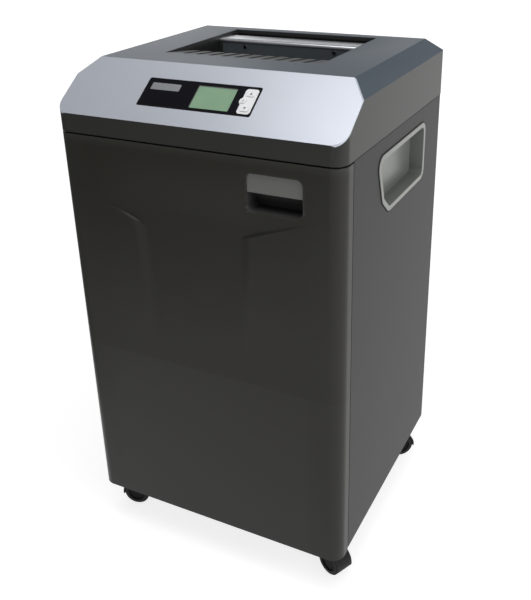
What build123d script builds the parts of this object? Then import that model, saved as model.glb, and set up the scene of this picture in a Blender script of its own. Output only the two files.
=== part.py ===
from build123d import *
import math
import os

os.makedirs("parts", exist_ok=True)

# Office paper shredder on casters. Millimetres. X runs to the right as seen from the front, the
# front faces -Y, Z is up, and the origin is on the floor below the middle of the machine.

# ---------------------------------------------------------------- driving dimensions

# Whole machine
width = 440.0
depth = 410.0
height = 785.0
half_w = width / 2
front_y = -depth / 2
rear_y = depth / 2

# Cabinet
cabinet_bottom = 70.0
cabinet_top = 693.0
panel_thick = 11.5
panel_outer = half_w - 1.5
panel_inner = panel_outer - panel_thick
panel_front = -167.5
back_outer = rear_y - 1.0
back_inner = back_outer - 8.0
base_top = cabinet_bottom + 8.0
deck_bottom = 566.0
deck_top = 574.0
base_front = -163.0
deck_front = -158.0
vent_x = (-130.0, -10.0)
vent_bottom = 608.0
vent_rows = 8
vent_pitch = 9.0
vent_slot = 3.2
screw_shank_r = 2.0
screw_head_r = 3.6
screw_head_high = 1.2
screw_column_x = 199.0
screw_rows_z = (95.0, 240.0, 385.0, 530.0, 675.0)
back_screw_points = [(side * screw_column_x, z) for side in (-1, 1) for z in screw_rows_z]

# Waste path and bin
chute_x = (-127.0, 127.0)
chute_y = (12.0, 96.0)
chute_bottom = 560.0
chute_top = 628.0
chute_wall = 2.0
bin_half = 186.0
bin_rim_half = 192.0
bin_front = -158.0
bin_rear = 186.0
bin_top = 553.0
bin_wall = 2.5
bin_slot_half = 55.0
bin_slot_bottom = 498.0
bin_slot_top = 526.0

# Magnet catch and its keeper
magnet_x = (187.0, panel_inner)
keeper_x = (187.0, 199.0)
magnet_z = (590.0, 612.0)
magnet_front = -166.5
magnet_deep = 15.0
strike_rear = -167.0
strike_thick = 2.0

# Head
head_bottom = 695.0
head_wall = 4.0
fascia_bottom = 722.0
slope_top_y = -117.0
cover_split = 764.0
chamfer_in = 197.0
rear_slope_y = 178.0
rear_slope_z = 764.0
front_corner = 20.0
rear_corner = 4.0
slope_run = slope_top_y - front_y
slope_rise = height - fascia_bottom
slope_length = math.hypot(slope_run, slope_rise)
slope_angle = math.atan2(slope_rise, slope_run)
fascia_thick = 2.5
tray_top = 698.0
tray_inset = 4.0
tray_hole_x = (-186.0, 186.0)
tray_hole_y = (-130.0, 180.0)

# Control panel, in (x, s) on the slope, s measured up from the fascia's lower edge
panel_x = (-95.0, 81.0)
panel_s = (28.0, 78.0)
panel_corner = 3.0
panel_thick_total = 4.0
panel_recess = 0.3
lcd_x = (-13.5, 46.0)
lcd_s = (33.5, 72.0)
lcd_corner = 1.5
lcd_window_bottom = 1.8
module_x = (-19.0, 51.0)
module_s = (30.0, 76.0)
module_bottom = 8.5
keypad_x = (59.0, 78.0)
keypad_s = (32.0, 73.5)
keypad_corner = 4.0
keypad_proud = 0.4
power_key_centre = (62.0, 52.7)
power_key_r = 4.4
power_bulge_r = 6.2
key_x = (63.0, 75.0)
forward_key_s = (60.5, 70.0)
reverse_key_s = (35.5, 45.0)
key_corner = 2.0
key_gap = 0.3
key_proud = 1.6
key_bottom = 6.0
key_round = 0.5
control_board_x = (-60.0, 80.0)
board_s = (29.0, 77.0)
board_bottom = 10.1

# Front door and its hinge
door_thick = 3.0
door_top = 692.5
door_tail = -171.0
flange_tail = -172.0
hinge_x = -212.0
hinge_y = -178.0
hinge_pin_r = 2.5
hinge_clearance = 0.05
tail_round = 2.5
neck_r = 4.4
neck_back = 1.2
neck_inner = -201.0
neck_outer = -190.0
neck_foot = -163.0
neck_rear = -150.0
lower_bracket = (78.0, 83.0)
upper_bracket = (684.0, 689.0)

# Grip in the door
grip_left = 84.0
grip_right = 165.0
grip_bottom = 620.0
grip_top = 672.0
grip_split = 645.5
grip_corner = 9.0
grip_flange = 3.0
grip_deep = 28.0
grip_wall = 2.0
grip_plate_back = 3.0
grip_plate_thick = 2.0

# Feed opening and the well below it
opening_half = 125.0
opening_front = -62.0
opening_rear = 157.0
ramp_end = 0.0
ramp_end_z = 778.5
groove_count = 10
groove_pitch = 21.6
slot_half = 120.0
slot_front = 50.0
slot_rear = 58.0
well_floor = 757.0
well_bottom = 700.0
well_wall = 3.0
plate_y = 98.0
bar_bottom = 775.5
bar_top = 780.5
bar_front = 97.0
bar_rear = 137.0
bar_round = 2.2
ramp_thick_front = 9.0
ramp_thick_rear = 6.5
groove_front = -52.0
groove_run_in = 8.0
groove_half = 4.0
groove_deep = 3.0
ramp_fall = (height - ramp_end_z) / (ramp_end - opening_front)
groove_surface_z = height - ramp_fall * (groove_front - opening_front)
slot_mouth_z = 739.0
well_rear_front = 94.0
plate_thick = 2.0
plate_foot = 14.0
throat_screw_x = 78.0
throat_screw_z = 769.0

# Side handle recess, in (y, z) on the side panel
handle_front_top = (-78.0, 665.0)
handle_rear_top = (123.0, 665.0)
handle_rear_bottom = (123.0, 583.0)
handle_front_bottom = (-33.0, 583.0)
handle_front_knee = (-57.0, 603.0)
handle_back = 197.5
handle_wall = 2.5
handle_lip = 5.0
handle_corner = 12.0

# Cutting mechanism: two rollers along X, the nip under the paper slot
nip_y = 54.0
roller_z = 660.0
roller_spacing = 48.0
disc_r = 26.0
spacer_r = 16.0
shaft_r = 8.0
disc_thick = 4.0
disc_pitch = 9.0
frame_inner = 132.0
frame_thick = 6.0
frame_top = 735.0
running_gap = 0.04
bearing_r = 14.0
lay_bearing_r = 10.0
frame_rear = 118.0
left_frame_front = -115.0
right_frame_front = -14.0
tie_rod_r = 5.0
frame_rod_front = 4.0
frame_rod_rear = 104.0
rod_low_z = 606.0
rod_top_front = -2.0
rod_top_rear = 110.0
rod_top_z = 718.0
front_disc_count = 28
roller_play = 0.6
shaft_end = 1.0
notch_count = 6
notch_deep = 2.5
notch_wide = 4.0
comb_clearance = 4.0
comb_tip_gap = 0.6
comb_bar = 8.0
comb_finger = 3.4
comb_bar_half = 10.0
comb_half = 4.0

# Gear train: module, teeth and the planes the gears run in
module = 1.6
pressure_angle = math.radians(20)
gear_play = 0.12
timing_teeth = 30
drive_teeth = 45
small_teeth = 18
wheel_teeth = 54
timing_gear_x = (-152.0, -142.0)
drive_gear_x = (-164.0, -154.0)
wheel_gear_x = (-176.0, -166.0)
gear_plate_x = (-184.0, -181.0)
layshaft_r = 6.0
flank_steps = 5
layshaft_rise = math.radians(27)
motor_drop = math.radians(11)
gear_plate_rear = 104.0
gear_plate_low = 600.0
gear_post_points = ((-95.0, 610.0), (95.0, 610.0), (-95.0, 728.0), (95.0, 728.0))
motor_x = (-132.0, -18.0)
motor_r = 38.0
motor_flange = 5.0
motor_flange_r = 44.0
motor_boss_r = 16.0
motor_end = 8.0

# Power board on the right of the deck
board_wall_x = (158.0, 160.0)
board_wall_y = (-60.0, 90.0)
board_wall_top = 690.0
transformer_x = (160.0, 186.0)
transformer_y = (-50.0, -6.0)
transformer_z = (590.0, 634.0)
capacitor_x = (160.0, 184.0)
capacitor_y = (14.0, 34.0, 54.0)
capacitor_z = 612.0
capacitor_r = 8.0

# Power entry: a mains inlet and a rocker switch in one moulding, at the upper back
entry_middle_z = 632.0
entry_x = (72.0, 132.0)
entry_z = (entry_middle_z - 15.0, entry_middle_z + 15.0)
entry_flange_x = (68.0, 136.0)
entry_flange_z = (entry_middle_z - 18.0, entry_middle_z + 18.0)
entry_front = 178.0
rear_plane = Plane(origin=(0, rear_y, 0), x_dir=(-1, 0, 0), z_dir=(0, 1, 0))
socket_x = -115.0
socket_wide = 25.0
socket_high = 18.0
socket_corner = 2.5
socket_deep = 16.0
pin_pitch = 7.0
pin_wide = 2.0
pin_high = 4.0
pin_set_back = 3.0
pin_drop = 0.0
rocker_hole_x = (78.0, 94.0)
rocker_hole_z = (entry_middle_z - 10.2, entry_middle_z + 10.2)
rocker_x = (78.4, 93.6)
rocker_pivot_y = 197.0
rocker_section = ((5.5, -8.5), (5.0, 0.0), (5.5, 8.5), (-3.0, 5.0), (-3.0, -5.0))
rocker_tilt = -10.0
rocker_pin_x = (76.2, 95.8)
rocker_bore_x = (76.0, 96.0)
rocker_pin_r = 1.5
rocker_bore_r = 1.55

# Casters: swivel axes, rest headings of the trail in degrees about Z
caster_x = 173.0
caster_front_y = -145.0
caster_rear_y = 160.0
caster_trail = 18.0
wheel_r = 22.0
hood_r = 24.5
hood_half = 14.5
hood_bottom = 18.0
web_half = 4.0
wheel_gap = 0.8
wheel_inner = 4.5
wheel_dish = 2.0
wheel_dish_r = 15.0
wheel_edge = 1.5
axle_r = 3.0
boss_r = 13.0
boss_bottom = 30.0
boss_top = 60.0
stem_r = 5.0
stem_bottom = 48.0
race_gap = 0.5
mount_half = 23.0
mount_thick = 3.0
casters = {
    "front_right": (caster_x, caster_front_y, -24.0),
    "front_left": (-caster_x, caster_front_y, -165.0),
    "rear_right": (caster_x, caster_rear_y, 40.0),
    "rear_left": (-caster_x, caster_rear_y, 123.0),
}


# ---------------------------------------------------------------- shared functions


def save(piece, name):
    """Label a finished piece with its node name and write its STEP file."""
    piece.part.label = name
    export_step(piece.part, f"parts/{name}.step")


def block(x_span, y_span, z_span, mode=Mode.ADD):
    """A box between two faces along each axis."""
    spans = (x_span, y_span, z_span)
    centre = tuple((low + high) / 2 for low, high in spans)
    size = tuple(high - low for low, high in spans)
    with Locations(centre):
        Box(*size, mode=mode)


def rod_x(x_span, y, z, radius, mode=Mode.ADD):
    """A cylinder along X between two end faces."""
    with Locations(((x_span[0] + x_span[1]) / 2, y, z)):
        Cylinder(radius, x_span[1] - x_span[0], rotation=(0, 90, 0), mode=mode)


def rod_y(y_span, x, z, radius, mode=Mode.ADD):
    """A cylinder along Y between two end faces."""
    with Locations((x, (y_span[0] + y_span[1]) / 2, z)):
        Cylinder(radius, y_span[1] - y_span[0], rotation=(90, 0, 0), mode=mode)


def rod_z(z_span, x, y, radius, mode=Mode.ADD):
    """An upright cylinder between two end faces."""
    with Locations((x, y, (z_span[0] + z_span[1]) / 2)):
        Cylinder(radius, z_span[1] - z_span[0], mode=mode)


def prism_x(points, x_span, mode=Mode.ADD):
    """A straight piece along X with an outline drawn in (y, z)."""
    with BuildSketch(Plane.YZ.offset(x_span[0])) as outline:
        Polygon(*points)
    extrude(outline.sketch, amount=x_span[1] - x_span[0], mode=mode)


def outline_x(shape, x_span, mode=Mode.ADD):
    """A straight piece along X from a ready outline in (y, z)."""
    with BuildSketch(Plane.YZ.offset(x_span[0])) as outline:
        add(shape)
    extrude(outline.sketch, amount=x_span[1] - x_span[0], mode=mode)


def mirrored(side, near, far):
    """The low and high X of a piece that spans near to far from the middle on one side."""
    return tuple(sorted((side * near, side * far)))


# ---------------------------------------------------------------- cabinet

with BuildPart() as base_plate:
    block((-panel_inner, panel_inner), (base_front, back_inner), (cabinet_bottom, base_top))
save(base_plate, "base_plate")


def handle_outline(grow):
    """The handle recess's rounded outline in (y, z), moved outwards by grow."""
    with BuildSketch() as outline:
        Polygon(
            handle_front_top,
            handle_rear_top,
            handle_rear_bottom,
            handle_front_bottom,
            handle_front_knee,
        )
        offset(amount=grow, kind=Kind.INTERSECTION)
        fillet(outline.vertices(), handle_corner + grow)
    return outline.sketch


handle_hole = handle_outline(0)
handle_cavity = handle_outline(-handle_wall)
handle_flange = handle_outline(handle_lip)

for side, side_name in ((-1, "left"), (1, "right")):
    with BuildPart() as side_panel:
        board_x = mirrored(side, panel_inner, panel_outer)
        block(board_x, (panel_front, rear_y), (cabinet_bottom, cabinet_top))
        outline_x(handle_hole, board_x, mode=Mode.SUBTRACT)
    save(side_panel, f"side_panel_{side_name}")

    with BuildPart() as handle_cup:
        outline_x(handle_hole, mirrored(side, handle_back - handle_wall, panel_outer))
        outline_x(handle_flange, mirrored(side, panel_outer, half_w))
        outline_x(handle_cavity, mirrored(side, handle_back, half_w), mode=Mode.SUBTRACT)
    save(handle_cup, f"handle_cup_{side_name}")

with BuildPart() as back_panel:
    block((-panel_inner, panel_inner), (back_inner, back_outer), (cabinet_bottom, cabinet_top))
    for row in range(vent_rows):
        slot_z = vent_bottom + row * vent_pitch
        block(vent_x, (back_inner, back_outer), (slot_z, slot_z + vent_slot), mode=Mode.SUBTRACT)
    block(entry_x, (back_inner, back_outer), entry_z, mode=Mode.SUBTRACT)
    for x, z in back_screw_points:
        rod_y((back_inner, back_outer), x, z, screw_shank_r, mode=Mode.SUBTRACT)
save(back_panel, "back_panel")

with BuildPart() as mechanism_deck:
    block((-panel_inner, panel_inner), (deck_front, back_inner), (deck_bottom, deck_top))
    block(chute_x, chute_y, (deck_bottom, deck_top), mode=Mode.SUBTRACT)
save(mechanism_deck, "mechanism_deck")

with BuildPart() as waste_chute:
    block(chute_x, chute_y, (chute_bottom, chute_top))
    block(
        (chute_x[0] + chute_wall, chute_x[1] - chute_wall),
        (chute_y[0] + chute_wall, chute_y[1] - chute_wall),
        (chute_bottom, chute_top),
        mode=Mode.SUBTRACT,
    )
save(waste_chute, "waste_chute")

with BuildPart() as waste_bin:
    block((-bin_half, bin_half), (bin_front, bin_rear), (base_top, bin_top))
    block((-bin_rim_half, bin_rim_half), (bin_front, bin_rear), (bin_top - bin_wall, bin_top))
    block(
        (-bin_half + bin_wall, bin_half - bin_wall),
        (bin_front + bin_wall, bin_rear - bin_wall),
        (base_top + bin_wall, bin_top),
        mode=Mode.SUBTRACT,
    )
    block(
        (-bin_slot_half, bin_slot_half),
        (bin_front, bin_front + bin_wall),
        (bin_slot_bottom, bin_slot_top),
        mode=Mode.SUBTRACT,
    )
save(waste_bin, "waste_bin")

with BuildPart() as magnet_catch:
    block(magnet_x, (magnet_front, magnet_front + magnet_deep), magnet_z)
save(magnet_catch, "magnet_catch")

# Hinge brackets: a swan neck from the side panel forwards and round to the pin, clear of the door's
# rear edge, which turns in a small circle about the pin.
with BuildSketch() as swan_neck:
    Polygon(
        (hinge_x, hinge_y - neck_r),
        (neck_outer, hinge_y - neck_r),
        (neck_outer, neck_rear),
        (-panel_inner, neck_rear),
        (-panel_inner, neck_foot),
        (neck_inner, neck_foot),
        (neck_inner, hinge_y + neck_back),
        (hinge_x, hinge_y + neck_back),
    )
    with Locations((hinge_x, hinge_y)):
        Circle(neck_r)

with BuildPart() as hinge_brackets:
    for low, high in (lower_bracket, upper_bracket):
        with BuildSketch(Plane.XY.offset(low)):
            add(swan_neck.sketch)
        extrude(amount=high - low)
        rod_z((low, high), hinge_x, hinge_y, hinge_pin_r, mode=Mode.SUBTRACT)
save(hinge_brackets, "hinge_brackets")

with BuildPart() as hinge_pins:
    rod_z((cabinet_bottom, lower_bracket[1]), hinge_x, hinge_y, hinge_pin_r)
    rod_z((upper_bracket[0], door_top), hinge_x, hinge_y, hinge_pin_r)
save(hinge_pins, "hinge_pins")

# ---------------------------------------------------------------- front door


def door_plan(inset, tail):
    """The door's plan: a shallow U with rounded front corners, drawn in by inset."""
    with BuildSketch() as plan:
        with Locations((0, (front_y + inset + tail) / 2)):
            Rectangle(width - 2 * inset, tail - front_y - inset)
        fillet(plan.vertices().group_by(Axis.Y)[0], front_corner - inset)
    return plan.sketch


door_outer = door_plan(0, door_tail)
door_inner = door_plan(door_thick, door_tail + door_thick)
door_flange = door_plan(door_thick, flange_tail)
grip_size = (grip_right - grip_left, grip_top - grip_bottom)
grip_middle = ((grip_left + grip_right) / 2, (grip_bottom + grip_top) / 2)
front_plane = Plane(origin=(0, front_y, 0), x_dir=(1, 0, 0), z_dir=(0, -1, 0))

with BuildPart() as door_shell:
    with BuildSketch(Plane.XY.offset(cabinet_bottom)):
        add(door_outer)
        add(door_inner, mode=Mode.SUBTRACT)
    extrude(amount=door_top - cabinet_bottom)
    fillet(door_shell.edges().filter_by(Axis.Z).filter_by(
        lambda edge: abs(abs(edge.center().X) - half_w) < 0.01 and edge.center().Y > door_tail - 0.01
    ), tail_round)
    for level in (cabinet_bottom, door_top - door_thick):
        with BuildSketch(Plane.XY.offset(level)):
            add(door_flange)
            with Locations((hinge_x, hinge_y)):
                Circle(hinge_pin_r + hinge_clearance, mode=Mode.SUBTRACT)
        extrude(amount=door_thick)
    with BuildSketch(front_plane):
        with Locations(grip_middle):
            RectangleRounded(*grip_size, grip_corner)
    extrude(amount=-door_thick, mode=Mode.SUBTRACT)
save(door_shell, "door_shell")

with BuildPart() as grip_cup:
    with BuildSketch(front_plane.offset(-door_thick)):
        with Locations(grip_middle):
            RectangleRounded(grip_size[0] + 2 * grip_flange, grip_size[1] + 2 * grip_flange, grip_corner)
    extrude(amount=-grip_deep)
    with BuildSketch(front_plane.offset(-door_thick)):
        with Locations(grip_middle):
            RectangleRounded(*grip_size, grip_corner)
    extrude(amount=-(grip_deep - grip_wall), mode=Mode.SUBTRACT)
save(grip_cup, "grip_cup")

with BuildPart() as grip_plate:
    with BuildSketch(front_plane.offset(-grip_plate_back)):
        with Locations(grip_middle):
            RectangleRounded(*grip_size, grip_corner)
        with Locations((grip_middle[0], grip_split - grip_size[1] / 2)):
            Rectangle(grip_size[0], grip_size[1], mode=Mode.SUBTRACT)
    extrude(amount=-grip_plate_thick)
save(grip_plate, "grip_plate")

# Steel keeper for the magnet, a channel on the inside of the door beside its free edge
with BuildPart() as strike_bracket:
    block(keeper_x, (front_y + door_thick, strike_rear), magnet_z)
    block(
        keeper_x,
        (front_y + door_thick, strike_rear - strike_thick),
        (magnet_z[0] + strike_thick, magnet_z[1] - strike_thick),
        mode=Mode.SUBTRACT,
    )
save(strike_bracket, "strike_bracket")

# ---------------------------------------------------------------- head


def head_envelope(inset):
    """The head's solid form with its sloped front, side chamfers and rear slope, drawn in by inset."""
    with BuildPart() as form:
        with BuildSketch(Plane.XY.offset(head_bottom)) as plan:
            Rectangle(width - 2 * inset, depth - 2 * inset)
            fillet(plan.vertices().group_by(Axis.Y)[0], front_corner - inset)
            fillet(plan.vertices().group_by(Axis.Y)[-1], rear_corner)
        extrude(amount=height - head_bottom)
        with BuildSketch(Plane.YZ):
            Polygon(
                (front_y, 0),
                (front_y, fascia_bottom),
                (slope_top_y, height),
                (rear_slope_y, height),
                (rear_y, rear_slope_z),
                (rear_y, 0),
            )
            offset(amount=-inset, kind=Kind.INTERSECTION)
        extrude(amount=half_w, both=True, mode=Mode.INTERSECT)
        with BuildSketch(Plane.XZ):
            Polygon(
                (-half_w, 0),
                (half_w, 0),
                (half_w, cover_split),
                (chamfer_in, height),
                (-chamfer_in, height),
                (-half_w, cover_split),
            )
            offset(amount=-inset, kind=Kind.INTERSECTION)
        extrude(amount=rear_y, both=True, mode=Mode.INTERSECT)
    return form.part


head_outer = head_envelope(0)
head_inner = head_envelope(head_wall)

# Local x runs across the machine and local y runs up the slope from the fascia's lower edge
slope_plane = Plane(
    origin=(0, front_y, fascia_bottom),
    x_dir=(1, 0, 0),
    z_dir=(0, -math.sin(slope_angle), math.cos(slope_angle)),
)


def slope_slab(outline, low, high, mode=Mode.ADD):
    """A piece parallel to the slope, from low to high above its surface."""
    with BuildSketch(slope_plane.offset(low)) as placed:
        add(outline)
    extrude(placed.sketch, amount=high - low, mode=mode)


def span_outline(x_span, s_span, corner=0):
    """A rectangle on the slope with rounded corners."""
    with BuildSketch() as outline:
        with Locations(((x_span[0] + x_span[1]) / 2, (s_span[0] + s_span[1]) / 2)):
            if corner:
                RectangleRounded(x_span[1] - x_span[0], s_span[1] - s_span[0], corner)
            else:
                Rectangle(x_span[1] - x_span[0], s_span[1] - s_span[0])
    return outline.sketch


fascia_outline = span_outline((-half_w, half_w), (0, slope_length))
panel_outline = span_outline(panel_x, panel_s, panel_corner)
lcd_outline = span_outline(lcd_x, lcd_s, lcd_corner)
module_outline = span_outline(module_x, module_s)
board_outline = span_outline(control_board_x, board_s)
forward_key_outline = span_outline(key_x, forward_key_s, key_corner)
reverse_key_outline = span_outline(key_x, reverse_key_s, key_corner)
with BuildSketch() as power_key_outline:
    with Locations(power_key_centre):
        Circle(power_key_r)
with BuildSketch() as keypad_outline:
    add(span_outline(keypad_x, keypad_s, keypad_corner))
    with Locations(power_key_centre):
        Circle(power_bulge_r)
key_outlines = {
    "key_forward": forward_key_outline,
    "key_reverse": reverse_key_outline,
    "key_power": power_key_outline.sketch,
}

with BuildPart() as tray_form:
    with BuildSketch(Plane.XY.offset(cabinet_top)) as tray_plan:
        Rectangle(width - 2 * tray_inset, depth - 2 * tray_inset)
        fillet(tray_plan.vertices().group_by(Axis.Y)[0], front_corner - tray_inset)
    extrude(amount=tray_top - cabinet_top)

with BuildPart() as head_tray:
    add(tray_form.part)
    block(tray_hole_x, tray_hole_y, (cabinet_top, tray_top), mode=Mode.SUBTRACT)
save(head_tray, "head_tray")

with BuildPart() as head_housing:
    add(head_outer)
    add(head_inner, mode=Mode.SUBTRACT)
    block((-half_w, half_w), (front_y, rear_y), (cover_split, height), mode=Mode.SUBTRACT)
    slope_slab(fascia_outline, -fascia_thick, 0, mode=Mode.SUBTRACT)
    slope_slab(panel_outline, -panel_thick_total, 0, mode=Mode.SUBTRACT)
    add(tray_form.part, mode=Mode.SUBTRACT)
save(head_housing, "head_housing")

with BuildPart() as top_cover:
    add(head_outer)
    add(head_inner, mode=Mode.SUBTRACT)
    block((-half_w, half_w), (front_y, rear_y), (head_bottom, cover_split), mode=Mode.SUBTRACT)
    slope_slab(fascia_outline, -fascia_thick, 0, mode=Mode.SUBTRACT)
    slope_slab(panel_outline, -panel_thick_total, 0, mode=Mode.SUBTRACT)
    block(
        (-opening_half, opening_half),
        (opening_front, opening_rear),
        (cover_split, height),
        mode=Mode.SUBTRACT,
    )
save(top_cover, "top_cover")

with BuildPart() as front_fascia:
    add(head_outer)
    slope_slab(fascia_outline, -fascia_thick, 0, mode=Mode.INTERSECT)
    slope_slab(panel_outline, -fascia_thick, 0, mode=Mode.SUBTRACT)
save(front_fascia, "front_fascia")

# ---------------------------------------------------------------- control panel

with BuildPart() as control_panel:
    slope_slab(panel_outline, -panel_thick_total, -panel_recess)
    slope_slab(lcd_outline, -panel_thick_total, 0, mode=Mode.SUBTRACT)
    slope_slab(keypad_outline.sketch, -panel_thick_total, 0, mode=Mode.SUBTRACT)
save(control_panel, "control_panel")

with BuildPart() as lcd_window:
    slope_slab(lcd_outline, -lcd_window_bottom, -panel_recess)
save(lcd_window, "lcd_window")

with BuildPart() as lcd_module:
    slope_slab(lcd_outline, -panel_thick_total, -lcd_window_bottom)
    slope_slab(module_outline, -module_bottom, -panel_thick_total)
save(lcd_module, "lcd_module")

with BuildPart() as keypad_bezel:
    slope_slab(keypad_outline.sketch, -panel_thick_total, keypad_proud)
    for outline in key_outlines.values():
        with BuildSketch(slope_plane.offset(-panel_thick_total)) as key_hole:
            add(outline)
            offset(amount=key_gap, kind=Kind.ARC)
        extrude(key_hole.sketch, amount=panel_thick_total + keypad_proud, mode=Mode.SUBTRACT)
save(keypad_bezel, "keypad_bezel")

with BuildPart() as control_board:
    slope_slab(board_outline, -board_bottom, -module_bottom)
save(control_board, "control_board")

for name, outline in key_outlines.items():
    with BuildPart() as key:
        slope_slab(outline, -key_bottom, key_proud)
        fillet(key.faces().sort_by(Axis((0, 0, 0), slope_plane.z_dir))[-1].edges(), key_round)
    save(key, name)

# ---------------------------------------------------------------- feed well

with BuildPart() as feed_ramp:
    prism_x(
        (
            (opening_front, height),
            (ramp_end, ramp_end_z),
            (ramp_end, ramp_end_z - ramp_thick_rear),
            (opening_front, height - ramp_thick_front),
        ),
        (-opening_half, opening_half),
    )
    for index in range(groove_count):
        centre = (index - (groove_count - 1) / 2) * groove_pitch
        prism_x(
            (
                (groove_front, height),
                (groove_front, groove_surface_z),
                (groove_front + groove_run_in, groove_surface_z - groove_deep),
                (ramp_end, ramp_end_z - groove_deep),
                (ramp_end, height),
            ),
            (centre - groove_half, centre + groove_half),
            mode=Mode.SUBTRACT,
        )
save(feed_ramp, "feed_ramp")

with BuildPart() as throat_well:
    prism_x(
        (
            (opening_front - well_wall, height - head_wall),
            (opening_front - well_wall, height - ramp_thick_front - well_wall),
            (ramp_end - well_wall, ramp_end_z - ramp_thick_rear - well_wall),
            (slot_front - well_wall, slot_mouth_z),
            (slot_front - well_wall, well_bottom),
            (slot_rear + well_wall, well_bottom),
            (slot_rear + well_wall, slot_mouth_z),
            (well_rear_front, well_floor - well_wall),
            (opening_rear + well_wall, well_floor - well_wall),
            (opening_rear + well_wall, height - head_wall),
        ),
        (-opening_half - well_wall, opening_half + well_wall),
    )
    prism_x(
        (
            (opening_front, height),
            (opening_front, height - ramp_thick_front),
            (ramp_end, ramp_end_z - ramp_thick_rear),
            (slot_front, slot_mouth_z),
            (slot_rear, slot_mouth_z),
            (well_rear_front, well_floor),
            (opening_rear, well_floor),
            (opening_rear, height),
        ),
        (-opening_half, opening_half),
        mode=Mode.SUBTRACT,
    )
    block(
        (-slot_half, slot_half),
        (slot_front, slot_rear),
        (well_bottom, slot_mouth_z),
        mode=Mode.SUBTRACT,
    )
save(throat_well, "throat_well")

with BuildPart() as throat_plate:
    prism_x(
        (
            (plate_y, well_floor),
            (plate_y + plate_foot, well_floor),
            (plate_y + plate_foot, well_floor + plate_thick),
            (plate_y + plate_thick, well_floor + plate_thick),
            (plate_y + plate_thick, bar_bottom),
            (plate_y, bar_bottom),
        ),
        (-opening_half, opening_half),
    )
    for x in (-throat_screw_x, throat_screw_x):
        rod_y((plate_y, plate_y + plate_thick), x, throat_screw_z, screw_shank_r, mode=Mode.SUBTRACT)
save(throat_plate, "throat_plate")

with BuildPart() as guide_bar:
    block((-opening_half, opening_half), (bar_front, bar_rear), (bar_bottom, bar_top))
    fillet(guide_bar.edges().filter_by(Axis.X).group_by(Axis.Y)[0], bar_round)
save(guide_bar, "guide_bar")

# Screws of one kind: ten in the back panel and two in the throat plate
with BuildPart() as cover_screws:
    for x, z in back_screw_points:
        rod_y((back_outer, rear_y), x, z, screw_head_r)
        rod_y((back_inner, back_outer), x, z, screw_shank_r)
    for x in (-throat_screw_x, throat_screw_x):
        rod_y((plate_y - screw_head_high, plate_y), x, throat_screw_z, screw_head_r)
        rod_y((plate_y, plate_y + plate_thick), x, throat_screw_z, screw_shank_r)
save(cover_screws, "cover_screws")

# ---------------------------------------------------------------- cutting mechanism

front_roller_y = nip_y - roller_spacing / 2
rear_roller_y = nip_y + roller_spacing / 2
roller_y = {"front": front_roller_y, "rear": rear_roller_y}

# Layshaft and motor axes follow from the gears' pitch radii
layshaft_distance = module * (drive_teeth + small_teeth) / 2
motor_distance = module * (wheel_teeth + small_teeth) / 2
layshaft_y = front_roller_y - layshaft_distance * math.cos(layshaft_rise)
layshaft_z = roller_z + layshaft_distance * math.sin(layshaft_rise)
motor_y = layshaft_y - motor_distance * math.cos(motor_drop)
motor_z = layshaft_z - motor_distance * math.sin(motor_drop)
rods = (
    (frame_rod_front, rod_low_z),
    (frame_rod_rear, rod_low_z),
    (rod_top_front, rod_top_z),
    (rod_top_rear, rod_top_z),
)
left_frame_x = (-frame_inner - frame_thick, -frame_inner)
right_frame_x = (frame_inner, frame_inner + frame_thick)

with BuildPart() as side_frame_left:
    block(left_frame_x, (left_frame_front, frame_rear), (deck_top, frame_top))
    for y in roller_y.values():
        rod_x(left_frame_x, y, roller_z, bearing_r, mode=Mode.SUBTRACT)
    rod_x(left_frame_x, layshaft_y, layshaft_z, lay_bearing_r, mode=Mode.SUBTRACT)
    rod_x(left_frame_x, motor_y, motor_z, motor_boss_r, mode=Mode.SUBTRACT)
save(side_frame_left, "side_frame_left")

with BuildPart() as side_frame_right:
    block(right_frame_x, (right_frame_front, frame_rear), (deck_top, frame_top))
    for y in roller_y.values():
        rod_x(right_frame_x, y, roller_z, bearing_r, mode=Mode.SUBTRACT)
save(side_frame_right, "side_frame_right")

# Spacer rods: four between the side frames, four between the left frame and the gear plate
with BuildPart() as tie_rods:
    for y, z in rods:
        rod_x((-frame_inner, frame_inner), y, z, tie_rod_r)
    for y, z in gear_post_points:
        rod_x((gear_plate_x[1], -frame_inner - frame_thick), y, z, tie_rod_r)
save(tie_rods, "tie_rods")

with BuildPart() as gear_plate:
    block(gear_plate_x, (left_frame_front, gear_plate_rear), (gear_plate_low, frame_top))
    for y, z in ((layshaft_y, layshaft_z), (motor_y, motor_z)):
        rod_x(gear_plate_x, y, z, layshaft_r + running_gap, mode=Mode.SUBTRACT)
save(gear_plate, "gear_plate")

with BuildPart() as shaft_bearings:
    for y in roller_y.values():
        for side in (-1, 1):
            x_span = mirrored(side, frame_inner, frame_inner + frame_thick)
            rod_x(x_span, y, roller_z, bearing_r)
            rod_x(x_span, y, roller_z, shaft_r + running_gap, mode=Mode.SUBTRACT)
    x_span = mirrored(-1, frame_inner, frame_inner + frame_thick)
    rod_x(x_span, layshaft_y, layshaft_z, lay_bearing_r)
    rod_x(x_span, layshaft_y, layshaft_z, layshaft_r + running_gap, mode=Mode.SUBTRACT)
save(shaft_bearings, "shaft_bearings")


def disc_positions(name):
    """Disc centres along X; the rear roller's discs run in the front roller's gaps."""
    count = front_disc_count if name == "front" else front_disc_count + 1
    return [(index - (count - 1) / 2) * disc_pitch for index in range(count)]


def gap_positions(name):
    """The middle of each gap between neighbouring discs."""
    centres = disc_positions(name)
    return [(low + high) / 2 for low, high in zip(centres, centres[1:])]


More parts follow.
